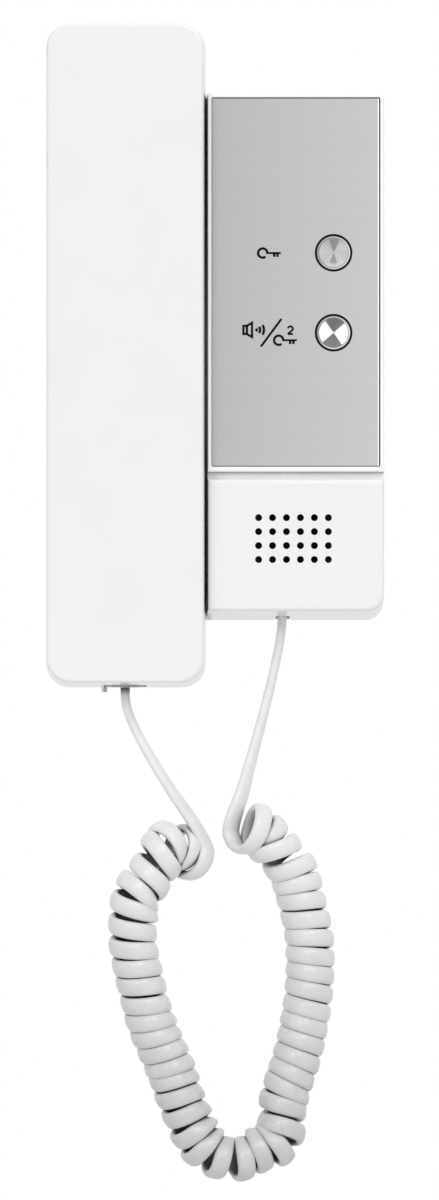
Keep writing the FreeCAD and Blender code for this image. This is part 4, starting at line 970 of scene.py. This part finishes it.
# The button stems are black, which darkens the gaps round the caps as painted shade
dress(moulded("black_plastic", black_tones, black_roughness),
      "upper_button_stem", "lower_button_stem", "upper_switch_plunger", "lower_switch_plunger",
      "tact_switches", "audio_chip", "hook_microswitch", "base_jack", "handset_jack", "ringer_basket",
      "ear_receiver")
dress(moulded("green_plastic", green_tones, green_roughness), "terminal_block")
dress(moulded("red_plastic", red_tones, red_roughness), "hook_plunger")
dress(plain_metal("steel", steel_tones, steel_roughness),
      "board_screws", "cover_screw", "terminal_screws", "handset_screws", "hook_pin", "hook_spring",
      "capacitors", "microphone")
dress(plain_metal("dark_metal", dark_metal_tones, dark_metal_roughness), "ringer_magnet", "receiver_magnet")
dress(foam("foam", foam_tone), "ringer_gasket", "receiver_gasket", "microphone_boot")
dress(foam("pressed_paper", paper_tone), "ringer_cone")
dress(circuit_board(), "main_board")
dress(brushed_panel(), "metal_fascia")
dress(clear_plastic(), "handset_plug", "base_plug")
dress(spun_cap("upper_spun_cap", upper_button_z, **upper_cap_light), "upper_button_cap")
dress(spun_cap("lower_spun_cap", lower_button_z, **lower_cap_light), "lower_button_cap")

# Cord
coil = coil_pairs()
pairs = lead_pairs(handset_lead, handset_plug_way, coil[0][1], handset_lead_turning)
pairs += coil
pairs += reversed(lead_pairs(base_lead, base_plug_way, coil[-1][1], base_lead_turning))
path = spline_points([point for point, across in pairs])
outer = spline_points([point + across * cord_thickness for point, across in pairs])
cord = flat_cord(path, outer, cord_sheath())
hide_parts("handset_lead", "curly_cord", "base_lead")
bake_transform(cord)

# Signs
ink = moulded("ink", ink_tones, ink_roughness, Specular_IOR_Level=ink_specular)
bm = bmesh.new()
for x, z in key_places:
    key_sign(bm, x, z)
sound_sign(bm)
two_sign(bm)
signs = mesh_object("panel_signs", bm, ink)
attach(signs, "base")

# Camera
camera_data = bpy.data.cameras.new("camera")
camera_data.sensor_fit = "VERTICAL"
camera_data.sensor_height = sensor_height
camera_data.lens = sensor_height * (camera_distance - scale_plane_out) / picture_height
camera_data.clip_end = camera_reach
camera = bpy.data.objects.new("camera", camera_data)
camera.location = (picture_middle[0], -camera_distance, picture_middle[1])
camera.rotation_euler = (math.radians(90), 0, 0)
bpy.context.collection.objects.link(camera)
bpy.context.scene.camera = camera


# Room and light

def lamp(name, place, target, size, watts):
    """A square soft lamp that looks at a point."""
    data = bpy.data.lights.new(name, "AREA")
    data.size = size
    data.energy = watts
    obj = bpy.data.objects.new(name, data)
    obj.location = place
    obj.rotation_euler = (Vector(target) - Vector(place)).to_track_quat("-Z", "Y").to_euler()
    bpy.context.collection.objects.link(obj)


def bright_room():
    """A world that is white where it is seen or mirrored, and dimmer as light on matt surfaces.

    It is dimmest from below."""
    world = bpy.data.worlds.new("room")
    world.use_nodes = True
    nodes, links = world.node_tree.nodes, world.node_tree.links
    white = shown(255)
    seen = nodes["Background"]
    seen.inputs["Color"].default_value = white
    matt = nodes.new("ShaderNodeBackground")
    matt.inputs["Color"].default_value = white
    way = nodes.new("ShaderNodeTexCoord")
    parts = nodes.new("ShaderNodeSeparateXYZ")
    height = nodes.new("ShaderNodeMapRange")
    limits = (-horizon_band, horizon_band, ground_on_matt, sky_on_matt)
    for i, limit in enumerate(limits, start=1):
        height.inputs[i].default_value = limit
    links.new(way.outputs["Generated"], parts.inputs[0])
    links.new(parts.outputs["Z"], height.inputs[0])
    links.new(height.outputs[0], matt.inputs["Strength"])
    ray = nodes.new("ShaderNodeLightPath")
    seen_or_mirrored = nodes.new("ShaderNodeMath")
    links.new(ray.outputs["Is Camera Ray"], seen_or_mirrored.inputs[0])
    links.new(ray.outputs["Is Glossy Ray"], seen_or_mirrored.inputs[1])
    or_through = nodes.new("ShaderNodeMath")
    or_through.use_clamp = True
    links.new(seen_or_mirrored.outputs[0], or_through.inputs[0])
    links.new(ray.outputs["Is Transmission Ray"], or_through.inputs[1])
    mixed = nodes.new("ShaderNodeMixShader")
    links.new(or_through.outputs[0], mixed.inputs[0])
    links.new(matt.outputs[0], mixed.inputs[1])
    links.new(seen.outputs[0], mixed.inputs[2])
    links.new(mixed.outputs[0], nodes["World Output"].inputs["Surface"])
    bpy.context.scene.world = world


def floor():
    """A plain pale floor under the unit, clear from its underside so that it hides nothing from below."""
    shader = Shader("floor_paint")
    shader.colour(shader.mix(shader.noise(floor_cloud_scale), *floor_tones))
    shader.roughness(shader.ramp(shader.noise(floor_gloss_scale), 0, 1, *floor_roughness))
    by_side = shader.node("ShaderNodeMixShader")
    shader.link(shader.node("ShaderNodeNewGeometry").outputs["Backfacing"], by_side.inputs[0])
    shader.link(shader.surface.outputs[0], by_side.inputs[1])
    shader.link(shader.node("ShaderNodeBsdfTransparent").outputs[0], by_side.inputs[2])
    shader.link(by_side.outputs[0], shader.tree.nodes["Material Output"].inputs["Surface"])
    bm = bmesh.new()
    corners = [(-floor_half_width, floor_front), (floor_half_width, floor_front),
               (floor_half_width, floor_back), (-floor_half_width, floor_back)]
    bm.faces.new([bm.verts.new((x, y, floor_level)) for x, y in corners])
    mesh_object("floor", bm, shader.material)


lamp("key_lamp", key_lamp_place, key_lamp_target, key_lamp_size, key_lamp_watts)
lamp("fill_lamp", fill_lamp_place, fill_lamp_target, fill_lamp_size, fill_lamp_watts)
bright_room()
floor()
bpy.context.scene.view_settings.view_transform = "Standard"
